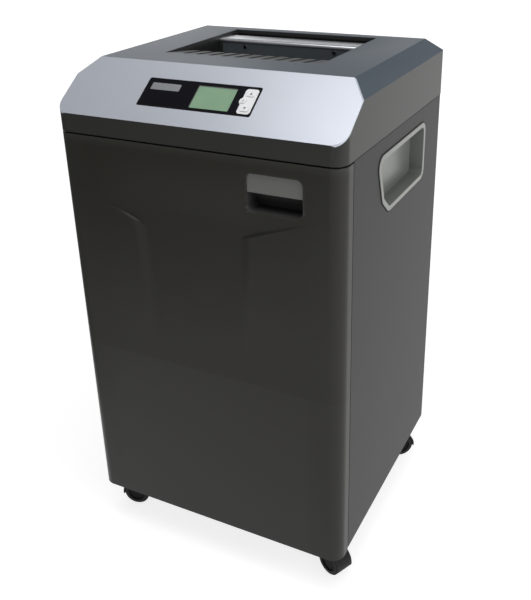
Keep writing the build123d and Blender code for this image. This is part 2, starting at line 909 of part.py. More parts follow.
for name, shaft_left in (("front", drive_gear_x[0] - shaft_end), ("rear", timing_gear_x[0] - shaft_end)):
    with BuildPart() as roller:
        rod_x((shaft_left, frame_inner + frame_thick + shaft_end), roller_y[name], roller_z, shaft_r)
        rod_x((-frame_inner + roller_play, frame_inner - roller_play), roller_y[name], roller_z, spacer_r)
        for x in disc_positions(name):
            rod_x((x - disc_thick / 2, x + disc_thick / 2), roller_y[name], roller_z, disc_r)
        with BuildSketch(Plane.YZ.offset(-frame_inner)) as notches:
            with Locations((roller_y[name], roller_z)):
                with PolarLocations(disc_r, notch_count):
                    Rectangle(notch_deep * 2, notch_wide)
        extrude(notches.sketch, amount=2 * frame_inner, mode=Mode.SUBTRACT)
    save(roller, f"cutter_{name}")

with BuildPart() as stripper_combs:
    for name, side in (("front", -1), ("rear", 1)):
        root_y = roller_y[name] + side * (disc_r + comb_clearance)
        tip_y = roller_y[name] + side * (spacer_r + comb_tip_gap)
        bar_faces = sorted((root_y, root_y + side * comb_bar))
        block((-frame_inner, frame_inner), bar_faces, (roller_z - comb_bar_half, roller_z + comb_bar_half))
        for x in gap_positions(name):
            block(
                (x - comb_finger / 2, x + comb_finger / 2),
                sorted((root_y, tip_y)),
                (roller_z - comb_half, roller_z + comb_half),
            )
save(stripper_combs, "stripper_combs")

# ---------------------------------------------------------------- gears and motor


def involute(angle):
    return math.tan(angle) - angle


def gear_outline(teeth, phase):
    """An involute gear's outline about its own centre, with one tooth's middle at angle phase."""
    pitch_r = module * teeth / 2
    base_r = pitch_r * math.cos(pressure_angle)
    tip_r = pitch_r + module
    root_r = pitch_r - 1.25 * module
    half_tooth = math.pi / (2 * teeth) - gear_play / (2 * pitch_r) + involute(pressure_angle)
    start_r = max(base_r, root_r)
    flank = [(root_r, half_tooth)] if root_r < base_r else []
    for step in range(flank_steps + 1):
        radius = start_r + (tip_r - start_r) * step / flank_steps
        flank.append((radius, half_tooth - involute(math.acos(base_r / radius))))
    points = []
    for tooth in range(teeth):
        middle = phase + 2 * math.pi * tooth / teeth
        points += [(r * math.cos(middle - a), r * math.sin(middle - a)) for r, a in flank]
        points += [(r * math.cos(middle + a), r * math.sin(middle + a)) for r, a in reversed(flank)]
    return points


def meshing_phase(teeth, phase, other_teeth, direction):
    """The phase of a gear that meshes with one of the given phase, whose centre lies at direction."""
    pitch = 2 * math.pi / teeth
    other_pitch = 2 * math.pi / other_teeth
    fraction = ((direction - phase) / pitch) % 1.0
    return direction + math.pi - other_pitch * (0.5 - fraction)


def gear(x_span, y, z, teeth, phase, bore):
    """Add a gear on a shaft along X."""
    with BuildSketch(Plane.YZ.offset(x_span[0])) as outline:
        with Locations((y, z)):
            Polygon(*gear_outline(teeth, phase))
            if bore:
                Circle(bore, mode=Mode.SUBTRACT)
    extrude(outline.sketch, amount=x_span[1] - x_span[0])


front_phase = 0.0
rear_phase = meshing_phase(timing_teeth, front_phase, timing_teeth, 0.0)
to_layshaft = math.pi - layshaft_rise
small_phase = meshing_phase(drive_teeth, front_phase, small_teeth, to_layshaft)
to_motor = math.pi + motor_drop
pinion_phase = meshing_phase(wheel_teeth, small_phase, small_teeth, to_motor)

with BuildPart() as front_timing_gear:
    gear(timing_gear_x, front_roller_y, roller_z, timing_teeth, front_phase, shaft_r)
save(front_timing_gear, "front_timing_gear")

with BuildPart() as rear_timing_gear:
    gear(timing_gear_x, rear_roller_y, roller_z, timing_teeth, rear_phase, shaft_r)
save(rear_timing_gear, "rear_timing_gear")

with BuildPart() as front_drive_gear:
    gear(drive_gear_x, front_roller_y, roller_z, drive_teeth, front_phase, shaft_r)
save(front_drive_gear, "front_drive_gear")

with BuildPart() as layshaft:
    rod_x((gear_plate_x[0], -frame_inner), layshaft_y, layshaft_z, layshaft_r)
    gear(drive_gear_x, layshaft_y, layshaft_z, small_teeth, small_phase, 0)
save(layshaft, "layshaft")

with BuildPart() as layshaft_wheel:
    gear(wheel_gear_x, layshaft_y, layshaft_z, wheel_teeth, small_phase, layshaft_r)
save(layshaft_wheel, "layshaft_wheel")

with BuildPart() as motor_shaft:
    rod_x((gear_plate_x[0], motor_x[1] - motor_end), motor_y, motor_z, layshaft_r)
    gear(wheel_gear_x, motor_y, motor_z, small_teeth, pinion_phase, 0)
save(motor_shaft, "motor_shaft")

with BuildPart() as motor_body:
    rod_x(motor_x, motor_y, motor_z, motor_r)
    rod_x((motor_x[0], motor_x[0] + motor_flange), motor_y, motor_z, motor_flange_r)
    bore_x = (motor_x[0], motor_x[1] - motor_end / 2)
    rod_x(bore_x, motor_y, motor_z, layshaft_r + running_gap, mode=Mode.SUBTRACT)
save(motor_body, "motor_body")

with BuildPart() as power_board:
    block(board_wall_x, board_wall_y, (deck_top, board_wall_top))
    block(transformer_x, transformer_y, transformer_z)
    for y in capacitor_y:
        rod_x(capacitor_x, y, capacitor_z, capacitor_r)
save(power_board, "power_board")

# ---------------------------------------------------------------- power entry on the back

with BuildPart() as power_entry:
    block(entry_flange_x, (back_outer, rear_y), entry_flange_z)
    block(entry_x, (entry_front, back_outer), entry_z)
    with BuildSketch(rear_plane) as socket:
        with Locations((socket_x, entry_middle_z)):
            RectangleRounded(socket_wide, socket_high, socket_corner)
    extrude(socket.sketch, amount=-socket_deep, mode=Mode.SUBTRACT)
    block(rocker_hole_x, (entry_front, rear_y), rocker_hole_z, mode=Mode.SUBTRACT)
    rod_x(rocker_bore_x, rocker_pivot_y, entry_middle_z, rocker_bore_r, mode=Mode.SUBTRACT)
    for index in (-1, 0, 1):
        x = -socket_x + index * pin_pitch
        block(
            (x - pin_wide / 2, x + pin_wide / 2),
            (rear_y - socket_deep, rear_y - pin_set_back),
            (entry_middle_z - pin_drop - pin_high, entry_middle_z - pin_drop),
        )
save(power_entry, "power_entry")

with BuildPart() as rocker:
    with BuildSketch(Plane.YZ.offset(rocker_x[0])) as section:
        with Locations((rocker_pivot_y, entry_middle_z)):
            Polygon(*rocker_section, rotation=rocker_tilt)
    extrude(section.sketch, amount=rocker_x[1] - rocker_x[0])
    rod_x(rocker_pin_x, rocker_pivot_y, entry_middle_z, rocker_pin_r)
save(rocker, "rocker")

# ---------------------------------------------------------------- casters


def turned(y_span, radius, mode=Mode.ADD):
    """A disc on the caster's axle, in the caster's own frame with its trail along X."""
    with Locations((caster_trail, (y_span[0] + y_span[1]) / 2, wheel_r)):
        Cylinder(radius, y_span[1] - y_span[0], rotation=(90, 0, 0), mode=mode)


with BuildPart() as hood_form:
    turned((-hood_half, hood_half), hood_r)
    rod_z((boss_bottom, boss_top), 0, 0, boss_r)
    for side in (-1, 1):
        turned(mirrored(side, web_half, hood_half + boss_r), wheel_r + wheel_gap, mode=Mode.SUBTRACT)
    block(
        (caster_trail - 2 * hood_r, caster_trail + 2 * hood_r),
        (-hood_half, hood_half),
        (-hood_r, hood_bottom),
        mode=Mode.SUBTRACT,
    )
    turned((-web_half, web_half), axle_r + running_gap, mode=Mode.SUBTRACT)
    rod_z((stem_bottom, boss_top), 0, 0, stem_r + running_gap, mode=Mode.SUBTRACT)

with BuildPart() as wheel_form:
    for side in (-1, 1):
        turned(mirrored(side, wheel_inner, hood_half), wheel_r)
        turned(mirrored(side, hood_half - wheel_dish, hood_half), wheel_dish_r, mode=Mode.SUBTRACT)
    turned((-wheel_inner, wheel_inner), axle_r)
    chamfer(
        wheel_form.edges().filter_by(GeomType.CIRCLE).filter_by(lambda edge: edge.radius > wheel_r - 0.01),
        wheel_edge,
    )

with BuildPart() as caster_mounts:
    for x, y, heading in casters.values():
        block(
            (x - mount_half, x + mount_half),
            (y - mount_half, y + mount_half),
            (cabinet_bottom - mount_thick, cabinet_bottom),
        )
        rod_z((boss_top + race_gap, cabinet_bottom - mount_thick), x, y, boss_r)
        rod_z((stem_bottom + race_gap, boss_top + race_gap), x, y, stem_r)
save(caster_mounts, "caster_mounts")

for corner, (x, y, heading) in casters.items():
    with BuildPart() as caster_hood:
        with Locations(Location((x, y, 0), (0, 0, heading))):
            add(hood_form.part)
    save(caster_hood, f"caster_hood_{corner}")

    with BuildPart() as caster_wheels:
        with Locations(Location((x, y, 0), (0, 0, heading))):
            add(wheel_form.part)
    save(caster_wheels, f"caster_wheels_{corner}")
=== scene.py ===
import math
import bmesh
import bpy
from mathutils import Matrix, Vector
from mathutils.geometry import convex_hull_2d


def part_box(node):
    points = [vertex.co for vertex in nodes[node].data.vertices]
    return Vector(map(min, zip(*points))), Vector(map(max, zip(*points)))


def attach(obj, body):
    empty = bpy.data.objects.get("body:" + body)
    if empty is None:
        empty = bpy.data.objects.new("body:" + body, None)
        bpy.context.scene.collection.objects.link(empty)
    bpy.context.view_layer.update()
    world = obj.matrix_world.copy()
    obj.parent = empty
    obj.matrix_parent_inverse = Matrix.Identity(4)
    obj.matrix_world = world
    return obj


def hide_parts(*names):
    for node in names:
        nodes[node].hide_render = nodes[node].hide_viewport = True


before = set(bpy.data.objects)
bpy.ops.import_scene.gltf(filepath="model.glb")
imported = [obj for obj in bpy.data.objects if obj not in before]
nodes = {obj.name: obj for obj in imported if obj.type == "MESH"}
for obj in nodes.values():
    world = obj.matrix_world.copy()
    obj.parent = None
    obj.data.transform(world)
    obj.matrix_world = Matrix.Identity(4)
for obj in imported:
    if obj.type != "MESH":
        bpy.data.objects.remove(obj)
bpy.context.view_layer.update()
scene = bpy.context.scene

# ---------------------------------------- studio
# A pale floor that turns up into a wall behind, with a soft box on the machine's right, one above
# and a small one behind. The floor glows, a little less near the machine, and its glow is painted
# dark in soft wedges towards the front left: painted shade, standing in for a studio's fall-off
# outside its pool of light. The camera looks down at the front right corner.

camera_place = Vector((0.56521, -1.05277, 1.00680))
camera_azimuth = math.radians(27.017)
camera_elevation = math.radians(23.423)
camera_roll = math.radians(-1.3076)
lens_length = 48.33
film_width = 36.0
lens_shift = (-0.0249, -0.1088)
air_light = 0.16

looking_back = Vector((
    math.sin(camera_azimuth) * math.cos(camera_elevation),
    -math.cos(camera_azimuth) * math.cos(camera_elevation),
    math.sin(camera_elevation),
))
level_right = (-looking_back).cross(Vector((0, 0, 1))).normalized()
level_up = looking_back.cross(level_right)
image_right = math.cos(camera_roll) * level_right + math.sin(camera_roll) * level_up
image_up = math.cos(camera_roll) * level_up - math.sin(camera_roll) * level_right
camera = bpy.data.objects.new("camera", bpy.data.cameras.new("camera"))
camera.matrix_world = Matrix.Translation(camera_place) @ Matrix(
    (image_right, image_up, looking_back)
).transposed().to_4x4()
camera.data.lens = lens_length
camera.data.sensor_width = film_width
camera.data.shift_x, camera.data.shift_y = lens_shift
scene.collection.objects.link(camera)
scene.camera = camera
scene.view_settings.view_transform = "Standard"

world = bpy.data.worlds.new("studio_air")
scene.world = world
world.use_nodes = True
world.node_tree.nodes["Background"].inputs["Color"].default_value = (1.0, 1.0, 1.0, 1)
world.node_tree.nodes["Background"].inputs["Strength"].default_value = air_light


def soft_box(name, place, aim, size, power):
    """A square area light at a place, aimed at a point."""
    lamp = bpy.data.objects.new(name, bpy.data.lights.new(name, "AREA"))
    lamp.data.size = size
    lamp.data.energy = power
    lamp.location = place
    lamp.rotation_euler = (Vector(aim) - Vector(place)).to_track_quat("-Z", "Y").to_euler()
    scene.collection.objects.link(lamp)


soft_box("light_right", place=(2.4, -0.45, 1.0), aim=(0.0, -0.1, 0.45), size=1.4, power=16)
soft_box("light_above", place=(0.25, -0.35, 2.3), aim=(0.1, -0.1, 0.7), size=1.5, power=21)
soft_box("light_behind", place=(-1.5, 1.8, 1.62), aim=(-0.1, 0.0, 0.78), size=0.9, power=3)

sweep_half = 7.0
sweep_front = -2.8
sweep_turn = 5.0
sweep_back = 7.0
sweep_top = 2.2
sweep_radius = sweep_back - sweep_turn
sweep_steps = 12
# The floor's glow is lower near the machine and rises towards the back: painted shade.
floor_glow_y = (0.4, 2.6)
floor_glow_range = (0.80, 0.98)
painted_shade_wedges = (((-0.45, -0.42, 0), -40, 46), ((-0.45, -1.15, 0), 0, 90))
painted_shade_edge_soft = 6
full_turn = 360
sweep_line = [(sweep_front, 0.0), (sweep_turn, 0.0)]
for step in range(1, sweep_steps + 1):
    turn = math.pi / 2 * step / sweep_steps
    sweep_line.append((
        sweep_turn + sweep_radius * math.sin(turn),
        sweep_radius * (1 - math.cos(turn)),
    ))
sweep_line.append((sweep_back, sweep_top))
floor_mesh = bpy.data.meshes.new("floor")
floor_points = [(side * sweep_half, y, z) for y, z in sweep_line for side in (-1, 1)]
floor_faces = [(2 * i, 2 * i + 1, 2 * i + 3, 2 * i + 2) for i in range(len(sweep_line) - 1)]
floor_mesh.from_pydata(floor_points, [], floor_faces)
floor_mesh.shade_smooth()
floor = bpy.data.objects.new("floor", floor_mesh)
scene.collection.objects.link(floor)


def new_finish(name):
    """A material with an empty tree but for its Principled shader."""
    material = bpy.data.materials.new(name)
    material.use_nodes = True
    return material, material.node_tree, material.node_tree.nodes["Principled BSDF"]


def wire(tree, output, socket):
    tree.links.new(output, socket)


floor_paint, tree, shader = new_finish("floor_paint")
shader.inputs["Base Color"].default_value = (0.50, 0.50, 0.50, 1)
shader.inputs["Roughness"].default_value = 0.9
shader.inputs["Emission Color"].default_value = (1.0, 1.0, 1.0, 1)
floor_place = tree.nodes.new("ShaderNodeTexCoord")
floor_axes = tree.nodes.new("ShaderNodeSeparateXYZ")
floor_glow = tree.nodes.new("ShaderNodeMapRange")
floor_glow.inputs["From Min"].default_value = floor_glow_y[0]
floor_glow.inputs["From Max"].default_value = floor_glow_y[1]
floor_glow.inputs["To Min"].default_value = floor_glow_range[0]
floor_glow.inputs["To Max"].default_value = floor_glow_range[1]
wire(tree, floor_place.outputs["Object"], floor_axes.inputs["Vector"])
wire(tree, floor_axes.outputs["Y"], floor_glow.inputs["Value"])
lit = floor_glow.outputs["Result"]
# Each wedge darkens the floor's glow in a sector around a corner: painted shade.
for corner, first, last in painted_shade_wedges:
    from_corner = tree.nodes.new("ShaderNodeMapping")
    from_corner.inputs["Location"].default_value = corner
    from_corner.inputs["Scale"].default_value = (-1, -1, 1)
    around = tree.nodes.new("ShaderNodeTexGradient")
    around.gradient_type = "RADIAL"
    shade = tree.nodes.new("ShaderNodeValToRGB")
    shade.color_ramp.elements[0].position = 0
    shade.color_ramp.elements[0].color = (1, 1, 1, 1)
    for degrees, level in (
        (first - painted_shade_edge_soft, 1),
        (first + painted_shade_edge_soft, 0),
        (last - painted_shade_edge_soft, 0),
    ):
        shade.color_ramp.elements.new(0.5 + degrees / full_turn).color = (level, level, level, 1)
    shade.color_ramp.elements[-1].position = 0.5 + (last + painted_shade_edge_soft) / full_turn
    shaded = tree.nodes.new("ShaderNodeMath")
    shaded.operation = "MULTIPLY"
    wire(tree, floor_place.outputs["Object"], from_corner.inputs["Vector"])
    wire(tree, from_corner.outputs["Vector"], around.inputs["Vector"])
    wire(tree, around.outputs["Fac"], shade.inputs["Fac"])
    wire(tree, lit, shaded.inputs[0])
    wire(tree, shade.outputs["Color"], shaded.inputs[1])
    lit = shaded.outputs["Value"]
wire(tree, lit, shader.inputs["Emission Strength"])
grain = tree.nodes.new("ShaderNodeTexNoise")
grain.inputs["Scale"].default_value = 60
floor_bump = tree.nodes.new("ShaderNodeBump")
floor_bump.inputs["Strength"].default_value = 0.02
wire(tree, floor_place.outputs["Object"], grain.inputs["Vector"])
wire(tree, grain.outputs["Fac"], floor_bump.inputs["Height"])
wire(tree, floor_bump.outputs["Normal"], shader.inputs["Normal"])
floor_mesh.materials.append(floor_paint)

# ---------------------------------------- casters
# Four black twin-wheel casters. Each has a pressed zinc plate and stem under the cabinet, a
# moulded nylon hood that swivels on the stem, and two soft-tread wheels on one axle.

mix_from = 6
mix_to = 7
mix_result = 2


def mottled(tree, shader, colour, spread, size):
    """Slow, faint colour changes as in pigmented plastic or sprayed paint."""
    place = tree.nodes.new("ShaderNodeTexCoord")
    clouds = tree.nodes.new("ShaderNodeTexNoise")
    clouds.inputs["Scale"].default_value = size
    clouds.inputs["Detail"].default_value = 4
    mix = tree.nodes.new("ShaderNodeMix")
    mix.data_type = "RGBA"
    mix.inputs[mix_from].default_value = (*[c * (1 - spread) for c in colour], 1)
    mix.inputs[mix_to].default_value = (*[min(1, c * (1 + spread)) for c in colour], 1)
    wire(tree, place.outputs["Object"], clouds.inputs["Vector"])
    wire(tree, clouds.outputs["Fac"], mix.inputs["Factor"])
    wire(tree, mix.outputs[mix_result], shader.inputs["Base Color"])
    return place, mix.outputs[mix_result]


def worn_edges(tree, shader, colour_output, lift, sharpness=0.54):
    """Edges rubbed a little lighter than the faces."""
    geometry = tree.nodes.new("ShaderNodeNewGeometry")
    ramp = tree.nodes.new("ShaderNodeMapRange")
    ramp.inputs["From Min"].default_value = 0.5
    ramp.inputs["From Max"].default_value = sharpness
    rubbed = tree.nodes.new("ShaderNodeMix")
    rubbed.data_type = "RGBA"
    rubbed.blend_type = "SCREEN"
    rubbed.inputs[mix_to].default_value = (lift, lift, lift, 1)
    wire(tree, geometry.outputs["Pointiness"], ramp.inputs["Value"])
    wire(tree, ramp.outputs["Result"], rubbed.inputs["Factor"])
    wire(tree, colour_output, rubbed.inputs[mix_from])
    wire(tree, rubbed.outputs[mix_result], shader.inputs["Base Color"])


def textured_skin(tree, shader, place, cell, strength, roughness, swing):
    """Fine grain: bumps of one cell size, and roughness that changes with them."""
    speckle = tree.nodes.new("ShaderNodeTexNoise")
    speckle.inputs["Scale"].default_value = 1 / cell
    speckle.inputs["Detail"].default_value = 3
    bump = tree.nodes.new("ShaderNodeBump")
    bump.inputs["Strength"].default_value = strength
    bump.inputs["Distance"].default_value = cell / 10
    dull = tree.nodes.new("ShaderNodeMapRange")
    dull.inputs["To Min"].default_value = roughness - swing
    dull.inputs["To Max"].default_value = roughness + swing
    wire(tree, place.outputs["Object"], speckle.inputs["Vector"])
    wire(tree, speckle.outputs["Fac"], bump.inputs["Height"])
    wire(tree, bump.outputs["Normal"], shader.inputs["Normal"])
    wire(tree, speckle.outputs["Fac"], dull.inputs["Value"])
    wire(tree, dull.outputs["Result"], shader.inputs["Roughness"])


def moulded_finish(
    name, colour, roughness=0.5, cell=0.0012, strength=0.25, spread=0.08, lift=0.02, shine=0.5
):
    """Moulded or sprayed plastic."""
    material, tree, shader = new_finish(name)
    shader.inputs["Specular IOR Level"].default_value = shine
    place, shade = mottled(tree, shader, colour, spread, size=9)
    worn_edges(tree, shader, shade, lift)
    textured_skin(tree, shader, place, cell, strength, roughness, swing=0.06)
    return material


def metal_finish(name, colour, roughness=0.32, along=(1, 1, 1), strength=0.2):
    """Rolled, ground or brushed metal, with its lines drawn out along one axis."""
    material, tree, shader = new_finish(name)
    shader.inputs["Metallic"].default_value = 1.0
    place, shade = mottled(tree, shader, colour, spread=0.1, size=14)
    worn_edges(tree, shader, shade, lift=0.08)
    drawn_out = tree.nodes.new("ShaderNodeMapping")
    drawn_out.inputs["Scale"].default_value = along
    lines = tree.nodes.new("ShaderNodeTexNoise")
    lines.inputs["Scale"].default_value = 700
    lines.inputs["Detail"].default_value = 5
    bump = tree.nodes.new("ShaderNodeBump")
    bump.inputs["Strength"].default_value = strength
    bump.inputs["Distance"].default_value = 0.0001
    dull = tree.nodes.new("ShaderNodeMapRange")
    dull.inputs["To Min"].default_value = roughness - 0.08
    dull.inputs["To Max"].default_value = roughness + 0.12
    wire(tree, place.outputs["Object"], drawn_out.inputs["Vector"])
    wire(tree, drawn_out.outputs["Vector"], lines.inputs["Vector"])
    wire(tree, lines.outputs["Fac"], bump.inputs["Height"])
    wire(tree, bump.outputs["Normal"], shader.inputs["Normal"])
    wire(tree, lines.outputs["Fac"], dull.inputs["Value"])
    wire(tree, dull.outputs["Result"], shader.inputs["Roughness"])
    return material


def smooth_by_angle(mesh, degrees):
    """Smooth shading with creases kept at edges sharper than an angle."""
    mesh.shade_smooth()
    mesh.set_sharp_from_angle(angle=math.radians(degrees))


def merged_copy(node):
    """A bmesh of a CAD piece with its triangles joined and its flat faces made whole."""
    form = bmesh.new()
    form.from_mesh(nodes[node].data)
    bmesh.ops.remove_doubles(form, verts=form.verts, dist=1e-6)
    bmesh.ops.dissolve_limit(
        form, angle_limit=math.radians(0.5), verts=form.verts, edges=form.edges
    )
    return form


def piece_from(form, name, body, material, replaced=()):
    """Turn a finished bmesh into a piece of the model."""
    mesh = bpy.data.meshes.new(name)
    form.to_mesh(mesh)
    form.free()
    mesh.materials.clear()
    mesh.materials.append(material)
    piece = bpy.data.objects.new(name, mesh)
    scene.collection.objects.link(piece)
    smooth_by_angle(mesh, 32)
    piece.modifiers.new("even_faces", "WEIGHTED_NORMAL").keep_sharp = True
    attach(piece, body)
    if replaced:
        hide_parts(*replaced)
    return piece


def eased(form, radius, steps=2, sharpness=40):
    """Round every edge sharper than an angle, as a mould or a file leaves it."""
    sharp = math.radians(sharpness)
    edges = [e for e in form.edges if len(e.link_faces) == 2 and e.calc_face_angle(0) > sharp]
    bmesh.ops.bevel(
        form,
        geom=edges,
        offset=radius,
        segments=steps,
        profile=0.5,
        affect="EDGES",
        clamp_overlap=True,
    )


def eased_piece(node, body, material, radius, steps=2):
    """A CAD piece with its edges rounded, under its own name."""
    form = merged_copy(node)
    eased(form, radius, steps)
    return piece_from(form, f"{node}_piece", body, material, (node,))


def dress(node, material):
    """Give a CAD piece that is shown as it is its finish."""
    nodes[node].data.materials.clear()
    nodes[node].data.materials.append(material)


caster_nylon = moulded_finish(
    "caster_nylon", (0.004, 0.004, 0.004), roughness=0.45, cell=0.0015, strength=0.2, shine=0.12
)
caster_tread = moulded_finish(
    "caster_tread", (0.006, 0.006, 0.006), roughness=0.6, cell=0.0008, strength=0.3, shine=0.12
)
zinc_plate = metal_finish("zinc_plate", (0.62, 0.62, 0.60), roughness=0.38)
dress("caster_mounts", zinc_plate)
for corner in ("front_right", "front_left", "rear_right", "rear_left"):
    hood = f"caster_hood_{corner}"
    wheels = f"caster_wheels_{corner}"
    eased_piece(hood, f"caster_{corner}", caster_nylon, radius=0.0012)
    eased_piece(wheels, f"wheels_{corner}", caster_tread, radius=0.0006)

# ---------------------------------------- cabinet boards
# The base plate, deck, side panels and back panel are boards sprayed in a satin dark grey. They are
# screwed and dowelled into a box, open at the front, that carries the bin below and the head above.

cabinet_paint = moulded_finish(
    "cabinet_paint", (0.020, 0.020, 0.020), roughness=0.42, cell=0.0008, strength=0.12, shine=0.09
)
for board in ("side_panel_left", "side_panel_right", "back_panel"):
    eased_piece(board, "cabinet", cabinet_paint, radius=0.0014)
dress("base_plate", cabinet_paint)
dress("mechanism_deck", cabinet_paint)

# ---------------------------------------- back panel fittings
# Louvre lips over the cooling slots, pressed out of the board's steel insert, and the row of
# pan-head screws down each edge that holds the back panel on.

louvre_count = 8
louvre_pitch = 0.009
louvre_long = 0.122
louvre_radius = 0.0011
back_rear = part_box("back_panel")[1].y
louvre_x = -0.070
louvre_z = 0.6123


def node_group(name, inputs):
    """An empty Geometry Nodes tree with a geometry input and output and named size inputs."""
    group = bpy.data.node_groups.new(name, "GeometryNodeTree")
    group.interface.new_socket("Geometry", in_out="INPUT", socket_type="NodeSocketGeometry")
    for label, kind in inputs:
        group.interface.new_socket(label, in_out="INPUT", socket_type=kind)
    group.interface.new_socket("Geometry", in_out="OUTPUT", socket_type="NodeSocketGeometry")
    return group, group.nodes.new("NodeGroupInput"), group.nodes.new("NodeGroupOutput")


def placed_by_nodes(name, group, values, body, material, start_mesh=None):
    """Run a tree on an object and keep its result as a plain mesh piece."""
    seed = bpy.data.objects.new(f"{name}_seed", start_mesh or bpy.data.meshes.new(f"{name}_seed"))
    scene.collection.objects.link(seed)
    modifier = seed.modifiers.new("build", "NODES")
    modifier.node_group = group
    for item in group.interface.items_tree:
        if item.in_out == "INPUT" and item.name in values:
            modifier[item.identifier] = values[item.name]
    bpy.context.view_layer.update()
    depsgraph = bpy.context.evaluated_depsgraph_get()
    mesh = bpy.data.meshes.new_from_object(seed.evaluated_get(depsgraph))
    bpy.data.objects.remove(seed)
    mesh.name = name
    mesh.materials.clear()
    mesh.materials.append(material)
    piece = bpy.data.objects.new(name, mesh)
    scene.collection.objects.link(piece)
    smooth_by_angle(mesh, 35)
    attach(piece, body)
    return piece


def finish_tree(group, result, last, material):
    """End a tree in Realize Instances and Set Material."""
    realize = group.nodes.new("GeometryNodeRealizeInstances")
    coat = group.nodes.new("GeometryNodeSetMaterial")
    coat.inputs["Material"].default_value = material
    group.links.new(last, realize.inputs["Geometry"])
    group.links.new(realize.outputs["Geometry"], coat.inputs["Geometry"])
    group.links.new(coat.outputs["Geometry"], result.inputs["Geometry"])


louvres, entry, result = node_group("louvres", (
    ("Count", "NodeSocketInt"),
    ("Start", "NodeSocketVector"),
    ("Step", "NodeSocketVector"),
    ("Length", "NodeSocketFloat"),
    ("Radius", "NodeSocketFloat"),
))
rows = louvres.nodes.new("GeometryNodeMeshLine")
rows.mode = "OFFSET"
lip = louvres.nodes.new("GeometryNodeMeshCylinder")
lip.fill_type = "NGON"
lip.inputs["Vertices"].default_value = 12
lip_turn = louvres.nodes.new("GeometryNodeTransform")
lip_turn.inputs["Rotation"].default_value = (0, math.pi / 2, 0)
set_lips = louvres.nodes.new("GeometryNodeInstanceOnPoints")
louvres.links.new(entry.outputs["Count"], rows.inputs["Count"])
louvres.links.new(entry.outputs["Start"], rows.inputs["Start Location"])
louvres.links.new(entry.outputs["Step"], rows.inputs["Offset"])
louvres.links.new(entry.outputs["Length"], lip.inputs["Depth"])
louvres.links.new(entry.outputs["Radius"], lip.inputs["Radius"])
louvres.links.new(lip.outputs["Mesh"], lip_turn.inputs["Geometry"])
louvres.links.new(rows.outputs["Mesh"], set_lips.inputs["Points"])
louvres.links.new(lip_turn.outputs["Geometry"], set_lips.inputs["Instance"])
finish_tree(louvres, result, set_lips.outputs["Instances"], cabinet_paint)
placed_by_nodes(
    "louvre_lips",
    louvres,
    {
        "Count": louvre_count,
        "Start": (louvre_x, back_rear - louvre_radius / 8, louvre_z),
        "Step": (0, 0, louvre_pitch),
        "Length": louvre_long,
        "Radius": louvre_radius,
    },
    "cabinet",
    cabinet_paint,
)

screw_head_radius = 0.0036
screw_head_height = 0.001
screw_cross = 0.0042
screw_cross_wide = 0.0009
screw_head_taper = 0.82
screw_edge_x = 0.199
screw_rows = (0.095, 0.240, 0.385, 0.530, 0.675)


def screw_tree(name, turn, material):
    """Pan-head screws with a cross recess, one on each point of the mesh that the tree is given."""
    group, entry, result = node_group(name, (
        ("Radius", "NodeSocketFloat"),
        ("Height", "NodeSocketFloat"),
        ("Recess", "NodeSocketVector"),
    ))
    head = group.nodes.new("GeometryNodeMeshCone")
    head.inputs["Vertices"].default_value = 24
    narrow = group.nodes.new("ShaderNodeMath")
    narrow.operation = "MULTIPLY"
    narrow.inputs[1].default_value = screw_head_taper
    bar = group.nodes.new("GeometryNodeMeshCube")
    bar_up = group.nodes.new("GeometryNodeTransform")
    bar_turned = group.nodes.new("GeometryNodeTransform")
    bar_turned.inputs["Rotation"].default_value = (0, 0, math.pi / 2)
    lift = group.nodes.new("ShaderNodeCombineXYZ")
    cut = group.nodes.new("GeometryNodeMeshBoolean")
    cut.operation = "DIFFERENCE"
    facing = group.nodes.new("GeometryNodeTransform")
    facing.inputs["Rotation"].default_value = turn
    heads = group.nodes.new("GeometryNodeInstanceOnPoints")
    links = group.links
    links.new(entry.outputs["Radius"], head.inputs["Radius Bottom"])
    links.new(entry.outputs["Radius"], narrow.inputs[0])
    links.new(narrow.outputs["Value"], head.inputs["Radius Top"])
    links.new(entry.outputs["Height"], head.inputs["Depth"])
    links.new(entry.outputs["Recess"], bar.inputs["Size"])
    links.new(entry.outputs["Height"], lift.inputs["Z"])
    links.new(bar.outputs["Mesh"], bar_up.inputs["Geometry"])
    links.new(lift.outputs["Vector"], bar_up.inputs["Translation"])
    links.new(bar_up.outputs["Geometry"], bar_turned.inputs["Geometry"])
    links.new(head.outputs["Mesh"], cut.inputs["Mesh 1"])
    links.new(bar_up.outputs["Geometry"], cut.inputs["Mesh 2"])
    links.new(bar_turned.outputs["Geometry"], cut.inputs["Mesh 2"])
    links.new(cut.outputs["Mesh"], facing.inputs["Geometry"])
    links.new(entry.outputs["Geometry"], heads.inputs["Points"])
    links.new(facing.outputs["Geometry"], heads.inputs["Instance"])
    finish_tree(group, result, heads.outputs["Instances"], material)
    return group


def point_mesh(name, points):
    """A mesh of loose points for a tree to work on."""
    mesh = bpy.data.meshes.new(name)
    mesh.from_pydata(points, [], [])
    return mesh


screw_steel = metal_finish("screw_steel", (0.55, 0.55, 0.54), roughness=0.34)
screw_sizes = {
    "Radius": screw_head_radius,
    "Height": screw_head_height,
    "Recess": (screw_cross, screw_cross_wide, screw_head_height),
}
back_screws = placed_by_nodes(
    "back_screw_heads",
    screw_tree("back_screws", (-math.pi / 2, 0, 0), screw_steel),
    screw_sizes,
    "cabinet",
    screw_steel,
    point_mesh("back_screw_points", [
        (side * screw_edge_x, back_rear, z) for side in (-1, 1) for z in screw_rows
    ]),
)
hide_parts("cover_screws")

# ---------------------------------------- side handles
# A moulded cup pressed into each side panel from outside, light grey inside, with a rounded lip
# that hides the sawn edge of the panel. A thin black ring around the lip is painted shadow,
# standing in for the shadow gap under the lip.

ring_beyond = 0.0015
ring_under = 0.0020
ring_sunk = 0.0002
ring_proud = 0.0006
lip_reach = 0.0001


